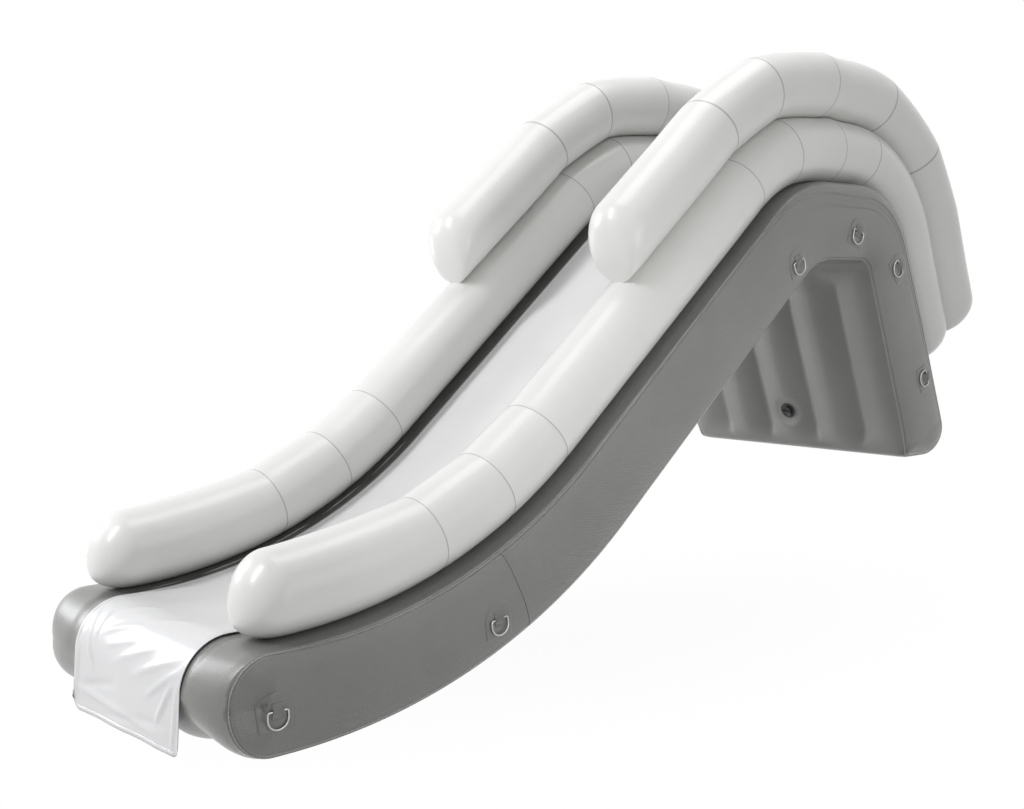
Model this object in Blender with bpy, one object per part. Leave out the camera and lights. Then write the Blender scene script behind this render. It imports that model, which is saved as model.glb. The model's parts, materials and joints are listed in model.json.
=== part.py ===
"""Inflatable yacht slide, built from its air chambers, webs, liner, D-rings and valves.

Metres, +Z up, +X to the right of someone at the slide's toe who looks up it, +Y towards the yacht.
The origin is the middle of the flat foot of the rear leg, which stands on the yacht's deck.
Everything is set out along the deck line: the side view of the surface that the rails and the
liner lie on. Lengths along it start where the rounded nose ends, and depths run down from it.
"""
import math

import bmesh
import bpy
from mathutils import Matrix, Vector

# The deck line, from the toe to the foot of the leg
TOE_STRAIGHT = 0.05
RUNOUT_RADIUS = 2.42
RAMP_ANGLE = math.radians(39.9)
RAMP_STRAIGHT = 1.71
CREST_FRONT_RADIUS = 0.75
CREST_FLAT = 0.252
CREST_REAR_RADIUS = 0.494
LEG_ANGLE = math.radians(68.1)
LEG_STRAIGHT = 1.274

# The base chamber's cross-section
BASE_THICKNESS = 0.406
BASE_EDGE = 0.742
SIDE_BULGE = 0.034
EDGE_DROP = 0.008
SIDE_ROUND = 0.075
WEB_PITCH = 0.326
DECK_CHANNEL = 0.008
UNDERSIDE_CHANNEL = 0.03
NOSE_END_TURN = math.radians(80)
NOSE_STEPS = 4
FOOT_BACK_RADIUS = 0.14
FOOT_INNER_RADIUS = 0.05
END_INSET = 0.035
NOSE_SWEEP = 0.04
NOSE_SWEEP_FROM = 0.48

# The rails: two long tubes, and two short tubes on top of them
RAIL_OFFSET = BASE_EDGE - 0.163
RAIL_SEAT = (RAIL_OFFSET - 0.054, RAIL_OFFSET + 0.121)
LOWER_RAIL_RADIUS = 0.168
UPPER_RAIL_RADIUS = 0.163
LOWER_TIP = 0.065
UPPER_TIP = 0.94
LOWER_LEG_LENGTH = 0.575
UPPER_LEG_LENGTH = 0.535
RAIL_SIDES = 12
DOME_LENGTH = 0.165
DOME_DROP = 0.5
UPPER_TIP_LENGTH = 0.185
UPPER_TIP_DROP = 1.0
DOME_TURNS = (math.radians(27), math.radians(53), math.radians(76))

# Skins, webs and the liner
SKIN = 0.0011
WEB_THICKNESS = 0.0012
WEB_END = 0.10
LINER_HALF_WIDTH = 0.432
LINER_SHIFT = 0.012
LINER_THICKNESS = 0.0012
LINER_COLUMNS = 12
FLAP_DROP = 0.225
FLAP_ROWS = 5
FLAP_FOLD = 0.011
FLAP_FOLDS = 2.5

# D-rings: distance along the deck line, depth of the bar below it, and the bar's slope in degrees
RING_PLACES = [(0.0, 0.217, 0), (0.99, 0.255, 9), (3.404, 0.275, 22),
               (4.149, 0.25, -17), (4.866, 0.165, -50), (5.545, 0.118, -67)]
RING_WIRE = 0.004
RING_WIDTH = 0.088
RING_SIDE = 0.028
RING_DROP = 0.04
PATCH_WIDTH = 0.145
PATCH_ABOVE = 0.068
PATCH_BELOW = 0.08
PATCH_THICKNESS = 0.002
LOOP_WIDTH = 0.046
LOOP_THICKNESS = 0.0016
LOOP_CLEARANCE = 0.0005

# Valves: one for each air chamber
BASE_VALVE_HEIGHT = 0.242
RAIL_VALVE_BACK = 0.2
VALVE_SIDES = 12
FLANGE_RADIUS = 0.0475
FLANGE_THICKNESS = 0.003
BARREL_RADIUS = 0.025
BORE_RADIUS = 0.02
NECK_RADIUS = 0.027
NECK_HEIGHT = 0.012
BARREL_DEPTH = 0.028
SHELF_THICKNESS = 0.005
SHELF_RADIUS = 0.011
POPPET_RADIUS = 0.016
POPPET_THICKNESS = 0.0035
STEM_RADIUS = 0.004
BUTTON_BELOW_SKIN = 0.001
SPRING_RADIUS = 0.0128
SPRING_WIRE = 0.0011
SPRING_TURNS = 3
CAP_WALL = 0.0035
PORT_DEPTH = 0.012
CAP_SKIRT = 0.006
GRIP_WIDTH = 0.007
GRIP_HEIGHT = 0.008

GAP = 0.0003
ARC_STEP = math.radians(8.2)
STATION_SLACK = 1e-5
CLOSEST_STATIONS = 1e-4

FRONT = Vector((0, -1, 0))


def clear_scene():
    for obj in list(bpy.data.objects):
        bpy.data.objects.remove(obj, do_unlink=True)


def material(name, color, roughness, metallic=0.0):
    mat = bpy.data.materials.get(name)
    if mat:
        return mat
    mat = bpy.data.materials.new(name)
    mat.use_nodes = True
    shader = mat.node_tree.nodes["Principled BSDF"]
    shader.inputs["Base Color"].default_value = (*color, 1.0)
    shader.inputs["Roughness"].default_value = roughness
    shader.inputs["Metallic"].default_value = metallic
    return mat


def grey_pvc():
    return material("grey_pvc", (0.30, 0.30, 0.29), 0.5)


def white_pvc():
    return material("white_pvc", (0.80, 0.80, 0.79), 0.3)


def white_liner():
    return material("white_liner", (0.84, 0.84, 0.85), 0.4)


def web_fabric():
    return material("web_fabric", (0.75, 0.75, 0.72), 0.8)


def stainless():
    return material("stainless", (0.72, 0.72, 0.72), 0.2, 1.0)


def black_plastic():
    return material("black_plastic", (0.02, 0.02, 0.02), 0.5)


def red_plastic():
    return material("red_plastic", (0.55, 0.04, 0.03), 0.4)


def object_from(bm, name, mat, smooth_angle=40):
    bmesh.ops.recalc_face_normals(bm, faces=bm.faces)
    mesh = bpy.data.meshes.new(name)
    bm.to_mesh(mesh)
    bm.free()
    mesh.shade_smooth()
    mesh.set_sharp_from_angle(angle=math.radians(smooth_angle))
    mesh.materials.append(mat)
    obj = bpy.data.objects.new(name, mesh)
    bpy.context.scene.collection.objects.link(obj)
    return obj


def loft(rings, name, mat, smooth_angle=40):
    """A closed body through rings of equal point counts, with a flat face at each end."""
    bm = bmesh.new()
    rows = [[bm.verts.new(point) for point in ring] for ring in rings]
    for low, high in zip(rows, rows[1:]):
        for i in range(len(low)):
            k = (i + 1) % len(low)
            bm.faces.new((low[i], low[k], high[k], high[i]))
    bm.faces.new(list(reversed(rows[0])))
    bm.faces.new(rows[-1])
    return object_from(bm, name, mat, smooth_angle)


def turned(profile, name, mat):
    """A closed outline of (radius, height) points, spun about Z."""
    bm = bmesh.new()
    verts = [bm.verts.new((r, 0, z)) for r, z in profile]
    edges = [bm.edges.new((verts[i], verts[(i + 1) % len(verts)])) for i in range(len(verts))]
    bmesh.ops.spin(bm, geom=verts + edges, axis=(0, 0, 1), cent=(0, 0, 0), steps=VALVE_SIDES,
                   angle=2 * math.pi, use_merge=True)
    bmesh.ops.remove_doubles(bm, verts=bm.verts, dist=1e-6)
    return object_from(bm, name, mat)


def circle(radius, height):
    turns = [2 * math.pi * i / VALVE_SIDES for i in range(VALVE_SIDES)]
    return [Vector((radius * math.cos(turn), radius * math.sin(turn), height)) for turn in turns]


def turned_solid(profile, name, mat):
    """An open outline of (radius, height) points about Z, closed by a flat face at each end."""
    return loft([circle(r, z) for r, z in profile], name, mat)


def add_skin(obj):
    """Turns a solid chamber into a closed skin of PVC with air inside it."""
    wall = obj.modifiers.new("skin", "SOLIDIFY")
    wall.thickness = SKIN
    wall.offset = -1
    wall.use_even_offset = True


def add_boolean(obj, other, operation):
    other.hide_render = True
    other.display_type = "WIRE"
    cut = obj.modifiers.new(operation.lower(), "BOOLEAN")
    cut.operation = operation
    cut.solver = "EXACT"
    cut.object = other


class DeckLine:
    """The deck line as straights and arcs, with points at any length and depth."""

    def __init__(self):
        down = -LEG_ANGLE
        self.pieces = [
            ("straight", TOE_STRAIGHT, 0.0, 0.0),
            ("arc", RUNOUT_RADIUS * RAMP_ANGLE, 0.0, RAMP_ANGLE),
            ("straight", RAMP_STRAIGHT, RAMP_ANGLE, RAMP_ANGLE),
            ("arc", CREST_FRONT_RADIUS * RAMP_ANGLE, RAMP_ANGLE, 0.0),
            ("straight", CREST_FLAT, 0.0, 0.0),
            ("arc", CREST_REAR_RADIUS * LEG_ANGLE, 0.0, down),
            ("straight", LEG_STRAIGHT, down, down),
        ]
        self.starts = [0.0]
        self.corners = [(0.0, 0.0)]
        for piece in self.pieces:
            self.corners.append(self.step(self.corners[-1], piece, piece[1]))
            self.starts.append(self.starts[-1] + piece[1])
        foot_y, foot_z = self.corners[-1]
        flat_back, flat_front = self.foot_flat()
        middle = foot_y + (flat_back + flat_front) / 2
        self.corners = [(y - middle, z - foot_z) for y, z in self.corners]

    @staticmethod
    def foot_flat():
        """Both ends of the foot's flat, measured back from where the deck line meets its plane."""
        back = -FOOT_BACK_RADIUS / math.tan(LEG_ANGLE / 2)
        across = -BASE_THICKNESS / math.sin(LEG_ANGLE)
        front = across + FOOT_INNER_RADIUS * math.tan(LEG_ANGLE / 2)
        return back, front

    @staticmethod
    def step(start, piece, distance):
        """The point that lies a distance into a piece."""
        kind, length, heading, end_heading = piece
        if kind == "straight":
            return (start[0] + distance * math.cos(heading), start[1] + distance * math.sin(heading))
        turn = end_heading - heading
        radius = length / turn
        now = heading + turn * distance / length
        y = start[0] + radius * (math.sin(now) - math.sin(heading))
        z = start[1] - radius * (math.cos(now) - math.cos(heading))
        return (y, z)

    def locate(self, distance):
        for index in range(len(self.pieces) - 1, -1, -1):
            if distance >= self.starts[index] or index == 0:
                return index, distance - self.starts[index]
        return 0, distance

    def heading(self, distance):
        index, inside = self.locate(distance)
        kind, length, heading, end_heading = self.pieces[index]
        if kind == "straight":
            return heading
        return heading + (end_heading - heading) * inside / length

    def point(self, distance, depth=0.0, x=0.0):
        index, inside = self.locate(distance)
        y, z = self.step(self.corners[index], self.pieces[index], inside)
        heading = self.heading(distance)
        return Vector((x, y + depth * math.sin(heading), z - depth * math.cos(heading)))

    def stations(self, start, end):
        """Places along the line where every long piece has a ring, so that their facets agree."""
        found = {start, end}
        for index, (kind, length, heading, end_heading) in enumerate(self.pieces):
            first = self.starts[index]
            steps = 1
            if kind == "arc":
                steps = math.ceil(abs(end_heading - heading) / ARC_STEP)
            for k in range(steps + 1):
                found.add(round(first + length * k / steps, 6))
        found.update(self.key_places())
        inside = sorted(s for s in found if start - STATION_SLACK <= s <= end + STATION_SLACK)
        return [s for i, s in enumerate(inside) if i == 0 or s - inside[i - 1] > CLOSEST_STATIONS]

    def ramp_start(self):
        return self.starts[2]

    def leg_start(self):
        return self.starts[6]

    def key_places(self):
        return [self.lower_tip(), self.upper_tip(), self.lower_end(), self.upper_end()]

    def lower_tip(self):
        return round(TOE_STRAIGHT + LOWER_TIP, 6)

    def upper_tip(self):
        return round(self.ramp_start() + UPPER_TIP, 6)

    def lower_end(self):
        return round(self.leg_start() + LOWER_LEG_LENGTH, 6)

    def upper_end(self):
        return round(self.leg_start() + UPPER_LEG_LENGTH, 6)


LINE = DeckLine()


def half_section():
    """Half of the base's outline as (x, depth), from the middle of the deck to that of the underside."""
    web, outer_web = WEB_PITCH / 2, WEB_PITCH * 3 / 2
    deep = BASE_THICKNESS
    low = deep - UNDERSIDE_CHANNEL
    outer = (outer_web + BASE_EDGE) / 2
    reach = (BASE_EDGE - outer_web) / 4
    top = [(0.0, 0.0), (web, DECK_CHANNEL), (WEB_PITCH, 0.0), (outer_web, DECK_CHANNEL),
           (RAIL_SEAT[0], 0.0), (RAIL_SEAT[1], 0.0), (BASE_EDGE, EDGE_DROP)]
    side = [(BASE_EDGE + 0.62 * SIDE_BULGE, SIDE_ROUND / 2), (BASE_EDGE + SIDE_BULGE, SIDE_ROUND),
            (BASE_EDGE + SIDE_BULGE, deep - SIDE_ROUND),
            (BASE_EDGE + 0.62 * SIDE_BULGE, deep - SIDE_ROUND / 2)]
    bottom = [(BASE_EDGE, deep - EDGE_DROP), (outer + reach, deep), (outer - reach, deep), (outer_web, low),
              (WEB_PITCH + web / 2, deep), (WEB_PITCH - web / 2, deep), (web, low), (web / 2, deep)]
    return top + side + bottom


def base_ring(deck, under, fade):
    """One ring of the base between a deck point and the underside point below it."""
    half = half_section()
    outline = half + [(-x, depth) for x, depth in reversed(half[1:])]
    ring = []
    for x, depth in outline:
        share = depth / BASE_THICKNESS
        nearest = 0.0 if share < 0.5 else 1.0
        if share < 0.1 or share > 0.9:
            share = nearest + (share - nearest) * fade
        inset = END_INSET * (1 - fade) * abs(x) / BASE_EDGE
        point = deck.lerp(under, share)
        ring.append(Vector((x - math.copysign(inset, x) if x else 0.0, point.y, point.z)))
    return ring


def nose_rings():
    centre = LINE.point(0, BASE_THICKNESS / 2)
    radius = BASE_THICKNESS / 2
    rings = []
    for k in range(NOSE_STEPS, 0, -1):
        turn = NOSE_END_TURN * (k / NOSE_STEPS) ** 0.85
        forward = FRONT * radius * math.sin(turn)
        up = Vector((0, 0, radius * math.cos(turn)))
        ring = base_ring(centre + forward + up, centre + forward - up, math.cos(turn))
        for point in ring:
            outer = max(0.0, abs(point.x) - NOSE_SWEEP_FROM) / (BASE_EDGE - NOSE_SWEEP_FROM)
            point.y += NOSE_SWEEP * (1 - math.cos(turn)) * outer ** 2
        rings.append(ring)
    return rings


def foot_rings():
    """The leg's end, which rounds into a level foot."""
    back, front = LINE.foot_flat()
    middle = (back + front) / 2
    rings = []
    steps = 3
    for k in range(steps + 1):
        share = k / steps
        back_turn = LEG_ANGLE + (math.pi - LEG_ANGLE) * share
        front_turn = LEG_ANGLE * (1 - share)
        deck = Vector((0, back - middle + FOOT_BACK_RADIUS * math.sin(back_turn),
                       FOOT_BACK_RADIUS * (1 + math.cos(back_turn))))
        under = Vector((0, front - middle - FOOT_INNER_RADIUS * math.sin(front_turn),
                        FOOT_INNER_RADIUS * (1 - math.cos(front_turn))))
        rings.append(base_ring(deck, under, math.cos(math.pi / 2 * share * 0.9)))
    return rings


def last_base_station():
    """The last square section of the leg, above both roundings of the foot."""
    back_height = FOOT_BACK_RADIUS / math.tan(LEG_ANGLE / 2)
    inner_rise = FOOT_INNER_RADIUS * math.tan(LEG_ANGLE / 2)
    across = BASE_THICKNESS / math.tan(LEG_ANGLE)
    return LINE.starts[7] - max(back_height, inner_rise + across) - 0.02


def base_chamber():
    rings = nose_rings()
    for distance in LINE.stations(0.0, last_base_station()):
        rings.append(base_ring(LINE.point(distance), LINE.point(distance, BASE_THICKNESS), 1.0))
    rings += foot_rings()
    obj = loft(rings, "base_chamber", grey_pvc())
    add_skin(obj)
    return obj


def baffle_web(x, name):
    """A flat web inside the base, which ties the deck to the underside along one channel."""
    top = DECK_CHANNEL + SKIN + GAP
    bottom = BASE_THICKNESS - UNDERSIDE_CHANNEL - SKIN - GAP
    half = WEB_THICKNESS / 2
    rings = []
    for distance in LINE.stations(WEB_END, last_base_station() - WEB_END):
        corners = [(x - half, top), (x + half, top), (x + half, bottom), (x - half, bottom)]
        rings.append([LINE.point(distance, depth, across) for across, depth in corners])
    return loft(rings, name, web_fabric())


def rail_ring(distance, centre_depth, radius, x, shift=0.0):
    """A ring of a rail, square to the deck line, with a flat facet on the deck and towards the lane."""
    heading = LINE.heading(distance)
    centre = LINE.point(distance, centre_depth, x)
    centre += Vector((0, math.cos(heading), math.sin(heading))) * shift
    up = Vector((0, -math.sin(heading), math.cos(heading)))
    across = Vector((1, 0, 0))
    reach = radius / math.cos(math.pi / RAIL_SIDES)
    ring = []
    for i in range(RAIL_SIDES):
        turn = 2 * math.pi * (i + 0.5) / RAIL_SIDES
        ring.append(centre + (across * math.cos(turn) + up * math.sin(turn)) * reach)
    return ring


def rail(name, x, start, end, centre_depth, radius, tip_length=DOME_LENGTH, tip_drop=DOME_DROP):
    """A tube along the deck line between two domes, which droop towards the deck."""
    def dome_ring(distance, turn, length, drop):
        small = radius * math.cos(turn)
        depth = centre_depth + drop * (radius - small)
        return rail_ring(distance, depth, small, x, length * math.sin(turn))

    rings = [dome_ring(start, turn, -tip_length, tip_drop) for turn in reversed(DOME_TURNS)]
    for distance in LINE.stations(start, end):
        rings.append(rail_ring(distance, centre_depth, radius, x))
    rings += [dome_ring(end, turn, DOME_LENGTH, DOME_DROP) for turn in DOME_TURNS]
    obj = loft(rings, name, white_pvc())
    add_skin(obj)
    return obj


def lower_rail(side_name, side):
    depth = -(LOWER_RAIL_RADIUS + GAP)
    return rail("lower_rail_" + side_name, side * RAIL_OFFSET, LINE.lower_tip(), LINE.lower_end(), depth,
                LOWER_RAIL_RADIUS)


def upper_rail_depth():
    return -(2 * LOWER_RAIL_RADIUS + UPPER_RAIL_RADIUS + 2 * GAP)


def upper_rail(side_name, side):
    return rail("upper_rail_" + side_name, side * RAIL_OFFSET, LINE.upper_tip(), LINE.upper_end(),
                upper_rail_depth(), UPPER_RAIL_RADIUS, UPPER_TIP_LENGTH, UPPER_TIP_DROP)


def liner_points():
    """The liner's side view: points of its underside with the way that its outer face looks."""
    centre = LINE.point(0, BASE_THICKNESS / 2)
    reach = BASE_THICKNESS / 2 + GAP
    places = []
    for k in range(FLAP_ROWS, 0, -1):
        drop = Vector((0, 0, -FLAP_DROP * k / FLAP_ROWS))
        places.append((centre + FRONT * reach + drop, FRONT, k / FLAP_ROWS))
    for k in range(4, 0, -1):
        turn = math.pi / 2 * k / 4
        out = Vector((0, -math.sin(turn), math.cos(turn)))
        grown = reach / math.cos(math.pi / 16)
        places.append((centre + out * grown, out, 0.0))
    for distance in LINE.stations(0.0, LINE.leg_start()):
        heading = LINE.heading(distance)
        out = Vector((0, -math.sin(heading), math.cos(heading)))
        places.append((LINE.point(distance, -GAP), out, 0.0))
    return places


def slide_liner():
    """The white liner on the lane, whose front end hangs over the nose as a loose flap."""
    rings = []
    width = 2 * LINER_HALF_WIDTH
    for point, out, hang in liner_points():
        inner = []
        outer = []
        for column in range(LINER_COLUMNS + 1):
            across = column / LINER_COLUMNS
            wave = math.sin(2 * math.pi * FLAP_FOLDS * across + 0.8)
            push = FLAP_FOLD * hang * (1.2 + wave)
            spot = point + FRONT * push
            x = LINER_SHIFT - LINER_HALF_WIDTH + width * across
            inner.append(Vector((x, spot.y, spot.z)))
            outer.append(inner[-1] + out * LINER_THICKNESS)
        rings.append(inner + list(reversed(outer)))
    return loft(rings, "slide_liner", white_liner(), 60)


def ring_frame(side, place):
    """The frame of a D-ring: X along its bar, Y out of the side panel, Z up along the panel."""
    distance, depth, slope = place
    tilt = math.radians(slope)
    bar = Vector((0, math.cos(tilt), math.sin(tilt)))
    up = Vector((0, -math.sin(tilt), math.cos(tilt)))
    out = Vector((side, 0, 0))
    spot = LINE.point(distance, depth, side * (BASE_EDGE + SIDE_BULGE))
    spot += out * (GAP + PATCH_THICKNESS + LOOP_CLEARANCE + RING_WIRE)
    frame = Matrix((bar * -side, out, up)).transposed().to_4x4()
    frame.translation = spot
    return frame


def ring_outline():
    """The D's centre line: the bar's two ends, then round the bow."""
    half = RING_WIDTH / 2
    points = [Vector((-half, 0, 0)), Vector((half, 0, 0)), Vector((half, 0, -RING_SIDE))]
    for k in range(1, 6):
        turn = math.pi * k / 6
        points.append(Vector((half * math.cos(turn), 0, -RING_SIDE - RING_DROP * math.sin(turn))))
    points.append(Vector((-half, 0, -RING_SIDE)))
    return points


def d_ring(name, frame):
    curve = bpy.data.curves.new(name, "CURVE")
    curve.dimensions = "3D"
    curve.bevel_depth = RING_WIRE
    curve.bevel_resolution = 1
    points = ring_outline()
    spline = curve.splines.new("POLY")
    spline.points.add(len(points) - 1)
    for slot, point in zip(spline.points, points):
        slot.co = (*point, 1.0)
    spline.use_cyclic_u = True
    curve.materials.append(stainless())
    obj = bpy.data.objects.new(name, curve)
    bpy.context.scene.collection.objects.link(obj)
    obj.matrix_world = frame
    return obj


def patch_pad(name):
    """The welded pad: square below, arched above."""
    half = PATCH_WIDTH / 2
    outline = [(-half, -PATCH_BELOW), (half, -PATCH_BELOW)]
    for k in range(7):
        turn = math.pi * k / 6
        outline.append((half * math.cos(turn), PATCH_ABOVE - half + half * math.sin(turn)))
    back = -(PATCH_THICKNESS + LOOP_CLEARANCE + RING_WIRE)
    front = back + PATCH_THICKNESS
    rings = [[Vector((x, y, z)) for x, z in outline] for y in (back, front)]
    return loft(rings, name, grey_pvc())


def patch_loop(name):
    """The webbing loop round the ring's bar, with its feet let into the pad."""
    hole = RING_WIRE / math.cos(math.pi / 8) + LOOP_CLEARANCE
    outer = hole + LOOP_THICKNESS
    foot = RING_WIRE + LOOP_CLEARANCE + PATCH_THICKNESS / 2
    rows = []
    for end in (-LOOP_WIDTH / 2, LOOP_WIDTH / 2):
        for radius in (outer, hole):
            row = []
            for k in range(8):
                turn = math.pi * (k + 0.5) / 4
                y, z = radius * math.cos(turn), radius * math.sin(turn)
                if radius == outer and y < 0:
                    y = -foot
                row.append(Vector((end, y, z)))
            rows.append(row)
    bm = bmesh.new()
    made = [[bm.verts.new(point) for point in row] for row in rows]
    for one, two in ((0, 1), (1, 3), (3, 2), (2, 0)):
        for i in range(8):
            k = (i + 1) % 8
            bm.faces.new((made[one][i], made[one][k], made[two][k], made[two][i]))
    return object_from(bm, name, grey_pvc())


def d_ring_patch(name, frame):
    pad = patch_pad(name)
    loop = patch_loop(name + "_loop")
    pad.matrix_world = frame
    loop.matrix_world = frame
    add_boolean(pad, loop, "UNION")
    return pad


def valve_seat(name):
    shelf_top = -BARREL_DEPTH + SHELF_THICKNESS
    profile = [
        (BORE_RADIUS, NECK_HEIGHT), (NECK_RADIUS, NECK_HEIGHT), (NECK_RADIUS, FLANGE_THICKNESS),
        (FLANGE_RADIUS, FLANGE_THICKNESS), (FLANGE_RADIUS, GAP), (BARREL_RADIUS, GAP),
        (BARREL_RADIUS, -BARREL_DEPTH), (SHELF_RADIUS, -BARREL_DEPTH), (SHELF_RADIUS, shelf_top),
        (BORE_RADIUS, shelf_top),
    ]
    return turned(profile, name, black_plastic())


def valve_poppet(name):
    """The poppet below the shelf, with its stem and the button that a pump presses."""
    top = -BARREL_DEPTH - GAP
    under_button = -BUTTON_BELOW_SKIN - POPPET_THICKNESS
    profile = [
        (POPPET_RADIUS, top - POPPET_THICKNESS), (POPPET_RADIUS, top), (STEM_RADIUS, top),
        (STEM_RADIUS, under_button), (POPPET_RADIUS, under_button), (POPPET_RADIUS, -BUTTON_BELOW_SKIN),
    ]
    return turned_solid(profile, name, red_plastic())


def valve_spring(name):
    """A helix between the shelf and the button."""
    low = -BARREL_DEPTH + SHELF_THICKNESS + GAP + SPRING_WIRE
    high = -BUTTON_BELOW_SKIN - POPPET_THICKNESS - GAP - SPRING_WIRE
    steps = 8 * SPRING_TURNS
    curve = bpy.data.curves.new(name, "CURVE")
    curve.dimensions = "3D"
    curve.bevel_depth = SPRING_WIRE
    curve.bevel_resolution = 0
    curve.use_fill_caps = True
    spline = curve.splines.new("POLY")
    spline.points.add(steps)
    for k, slot in enumerate(spline.points):
        turn = 2 * math.pi * k / 8
        height = low + (high - low) * k / steps
        slot.co = (SPRING_RADIUS * math.cos(turn), SPRING_RADIUS * math.sin(turn), height, 1.0)
    curve.materials.append(stainless())
    obj = bpy.data.objects.new(name, curve)
    bpy.context.scene.collection.objects.link(obj)
    return obj


def valve_cap(name):
    """The bayonet cap over the neck, with a grip bar across it."""
    inner = NECK_RADIUS / math.cos(math.pi / VALVE_SIDES) + GAP
    outer = inner + CAP_WALL
    ceiling = NECK_HEIGHT + GAP
    top = ceiling + CAP_WALL
    profile = [(inner, ceiling), (inner, CAP_SKIRT), (outer, CAP_SKIRT), (outer, top)]
    cap = turned_solid(profile, name, black_plastic())
    grip = grip_bar(name + "_grip", outer - CAP_WALL / 2, top)
    add_boolean(cap, grip, "UNION")
    return cap, grip


def grip_bar(name, reach, top):
    half = GRIP_WIDTH / 2
    outline = [(-reach, -half), (reach, -half), (reach, half), (-reach, half)]
    heights = (top - CAP_WALL / 2, top + GRIP_HEIGHT)
    rings = [[Vector((x, y, z)) for x, y in outline] for z in heights]
    return loft(rings, name, black_plastic())


def cut_port(chamber, frame, name):
    """The round hole in a chamber's skin that the valve's barrel passes through."""
    reach = BARREL_RADIUS / math.cos(math.pi / VALVE_SIDES) + GAP
    cutter = loft([circle(reach, z) for z in (-PORT_DEPTH, PORT_DEPTH)], name, black_plastic())
    cutter.matrix_world = frame
    add_boolean(chamber, cutter, "DIFFERENCE")


def add_valve(prefix, chamber, frame):
    cut_port(chamber, frame, prefix + "_port")
    seat = valve_seat(prefix + "_seat")
    poppet = valve_poppet(prefix + "_poppet")
    spring = valve_spring(prefix + "_spring")
    cap, grip = valve_cap(prefix + "_cap")
    for piece in (seat, poppet, spring, cap, grip):
        piece.matrix_world = frame


def frame_looking(spot, out, along):
    """A frame at a spot, with Z out of the skin and X near a given way."""
    z = out.normalized()
    x = (along - z * along.dot(z)).normalized()
    frame = Matrix((x, z.cross(x), z)).transposed().to_4x4()
    frame.translation = spot
    return frame


def base_valve_frame():
    """On the middle rib of the leg's inner face, just above the foot."""
    distance = LINE.starts[7] - BASE_VALVE_HEIGHT - BASE_THICKNESS / math.tan(LEG_ANGLE)
    spot = LINE.point(distance, BASE_THICKNESS)
    out = spot - LINE.point(distance)
    return frame_looking(spot, out, Vector((1, 0, 0)))


def rail_valve_frame(side, end, depth, radius):
    """On the lane side of a rail, a little above its rear end."""
    distance = end - RAIL_VALVE_BACK
    spot = LINE.point(distance, depth, side * (RAIL_OFFSET - radius))
    heading = LINE.heading(distance)
    along = Vector((0, math.cos(heading), math.sin(heading)))
    return frame_looking(spot, Vector((-side, 0, 0)), along)


def main():
    clear_scene()
    base = base_chamber()
    add_valve("base_valve", base, base_valve_frame())
    for number, share in enumerate((-1.5, -0.5, 0.5, 1.5), start=1):
        baffle_web(WEB_PITCH * share, f"baffle_web_{number}")
    for side_name, side in (("left", -1), ("right", 1)):
        lower = lower_rail(side_name, side)
        lower_depth = -(LOWER_RAIL_RADIUS + GAP)
        frame = rail_valve_frame(side, LINE.lower_end(), lower_depth, LOWER_RAIL_RADIUS)
        add_valve(f"lower_valve_{side_name}", lower, frame)
        upper = upper_rail(side_name, side)
        frame = rail_valve_frame(side, LINE.upper_end(), upper_rail_depth(), UPPER_RAIL_RADIUS)
        add_valve(f"upper_valve_{side_name}", upper, frame)
        for number, place in enumerate(RING_PLACES, start=1):
            frame = ring_frame(side, place)
            d_ring_patch(f"ring_patch_{side_name}_{number}", frame)
            d_ring(f"d_ring_{side_name}_{number}", frame)
    slide_liner()


main()
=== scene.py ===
"""Looks of the inflatable yacht slide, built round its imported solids.

Metres, in the solids' own frame: the origin is the middle of the leg's flat foot, +Z is up, +Y points from
the slide's toe to its leg, and +X is to the right of someone at the toe who looks up the slide.
Everything is set out along the deck line, the side view of the surface that the rails and the liner lie on.
"""
from __future__ import annotations

import bisect
import json
import logging
import math
from dataclasses import dataclass, field
from enum import Enum
from typing import Callable, Optional, Sequence

import bmesh
import bpy
from mathutils import Matrix, Vector, noise
from mathutils.bvhtree import BVHTree

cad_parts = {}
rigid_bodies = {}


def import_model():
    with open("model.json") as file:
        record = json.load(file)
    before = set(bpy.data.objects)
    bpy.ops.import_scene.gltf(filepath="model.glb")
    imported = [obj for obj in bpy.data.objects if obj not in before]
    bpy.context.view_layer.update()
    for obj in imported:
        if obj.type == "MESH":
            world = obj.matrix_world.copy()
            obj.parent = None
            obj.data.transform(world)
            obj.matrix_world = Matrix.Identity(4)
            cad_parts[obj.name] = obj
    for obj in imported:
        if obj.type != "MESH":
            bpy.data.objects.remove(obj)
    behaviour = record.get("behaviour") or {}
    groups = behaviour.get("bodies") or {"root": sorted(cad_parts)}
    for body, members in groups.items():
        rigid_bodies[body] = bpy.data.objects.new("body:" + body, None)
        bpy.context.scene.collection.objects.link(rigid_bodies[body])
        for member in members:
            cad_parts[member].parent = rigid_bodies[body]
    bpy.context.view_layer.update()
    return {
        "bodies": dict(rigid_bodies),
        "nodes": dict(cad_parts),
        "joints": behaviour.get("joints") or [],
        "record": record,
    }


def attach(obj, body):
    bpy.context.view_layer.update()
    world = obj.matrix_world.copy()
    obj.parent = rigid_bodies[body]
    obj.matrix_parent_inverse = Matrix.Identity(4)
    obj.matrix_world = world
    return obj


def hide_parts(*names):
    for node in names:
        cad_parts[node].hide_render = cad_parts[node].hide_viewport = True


log = logging.getLogger("yacht_slide")

Place = Callable[[int, int], Vector]
Measure = Callable[[int, int], tuple[float, float]]
Mark = Callable[[int, int], float]
Colour = tuple[float, float, float]
Socket = bpy.types.NodeSocket

AIR_GAP = 0.0003
MAIN_BODY = "slide_body"
WHITE = (1.0, 1.0, 1.0)
# most of a noise texture lies between these
NOISE_RANGE = (0.3, 0.7)
DOUBLES = 1e-6
# rows are this close about a valve
VALVE_PITCH = 0.012
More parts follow.
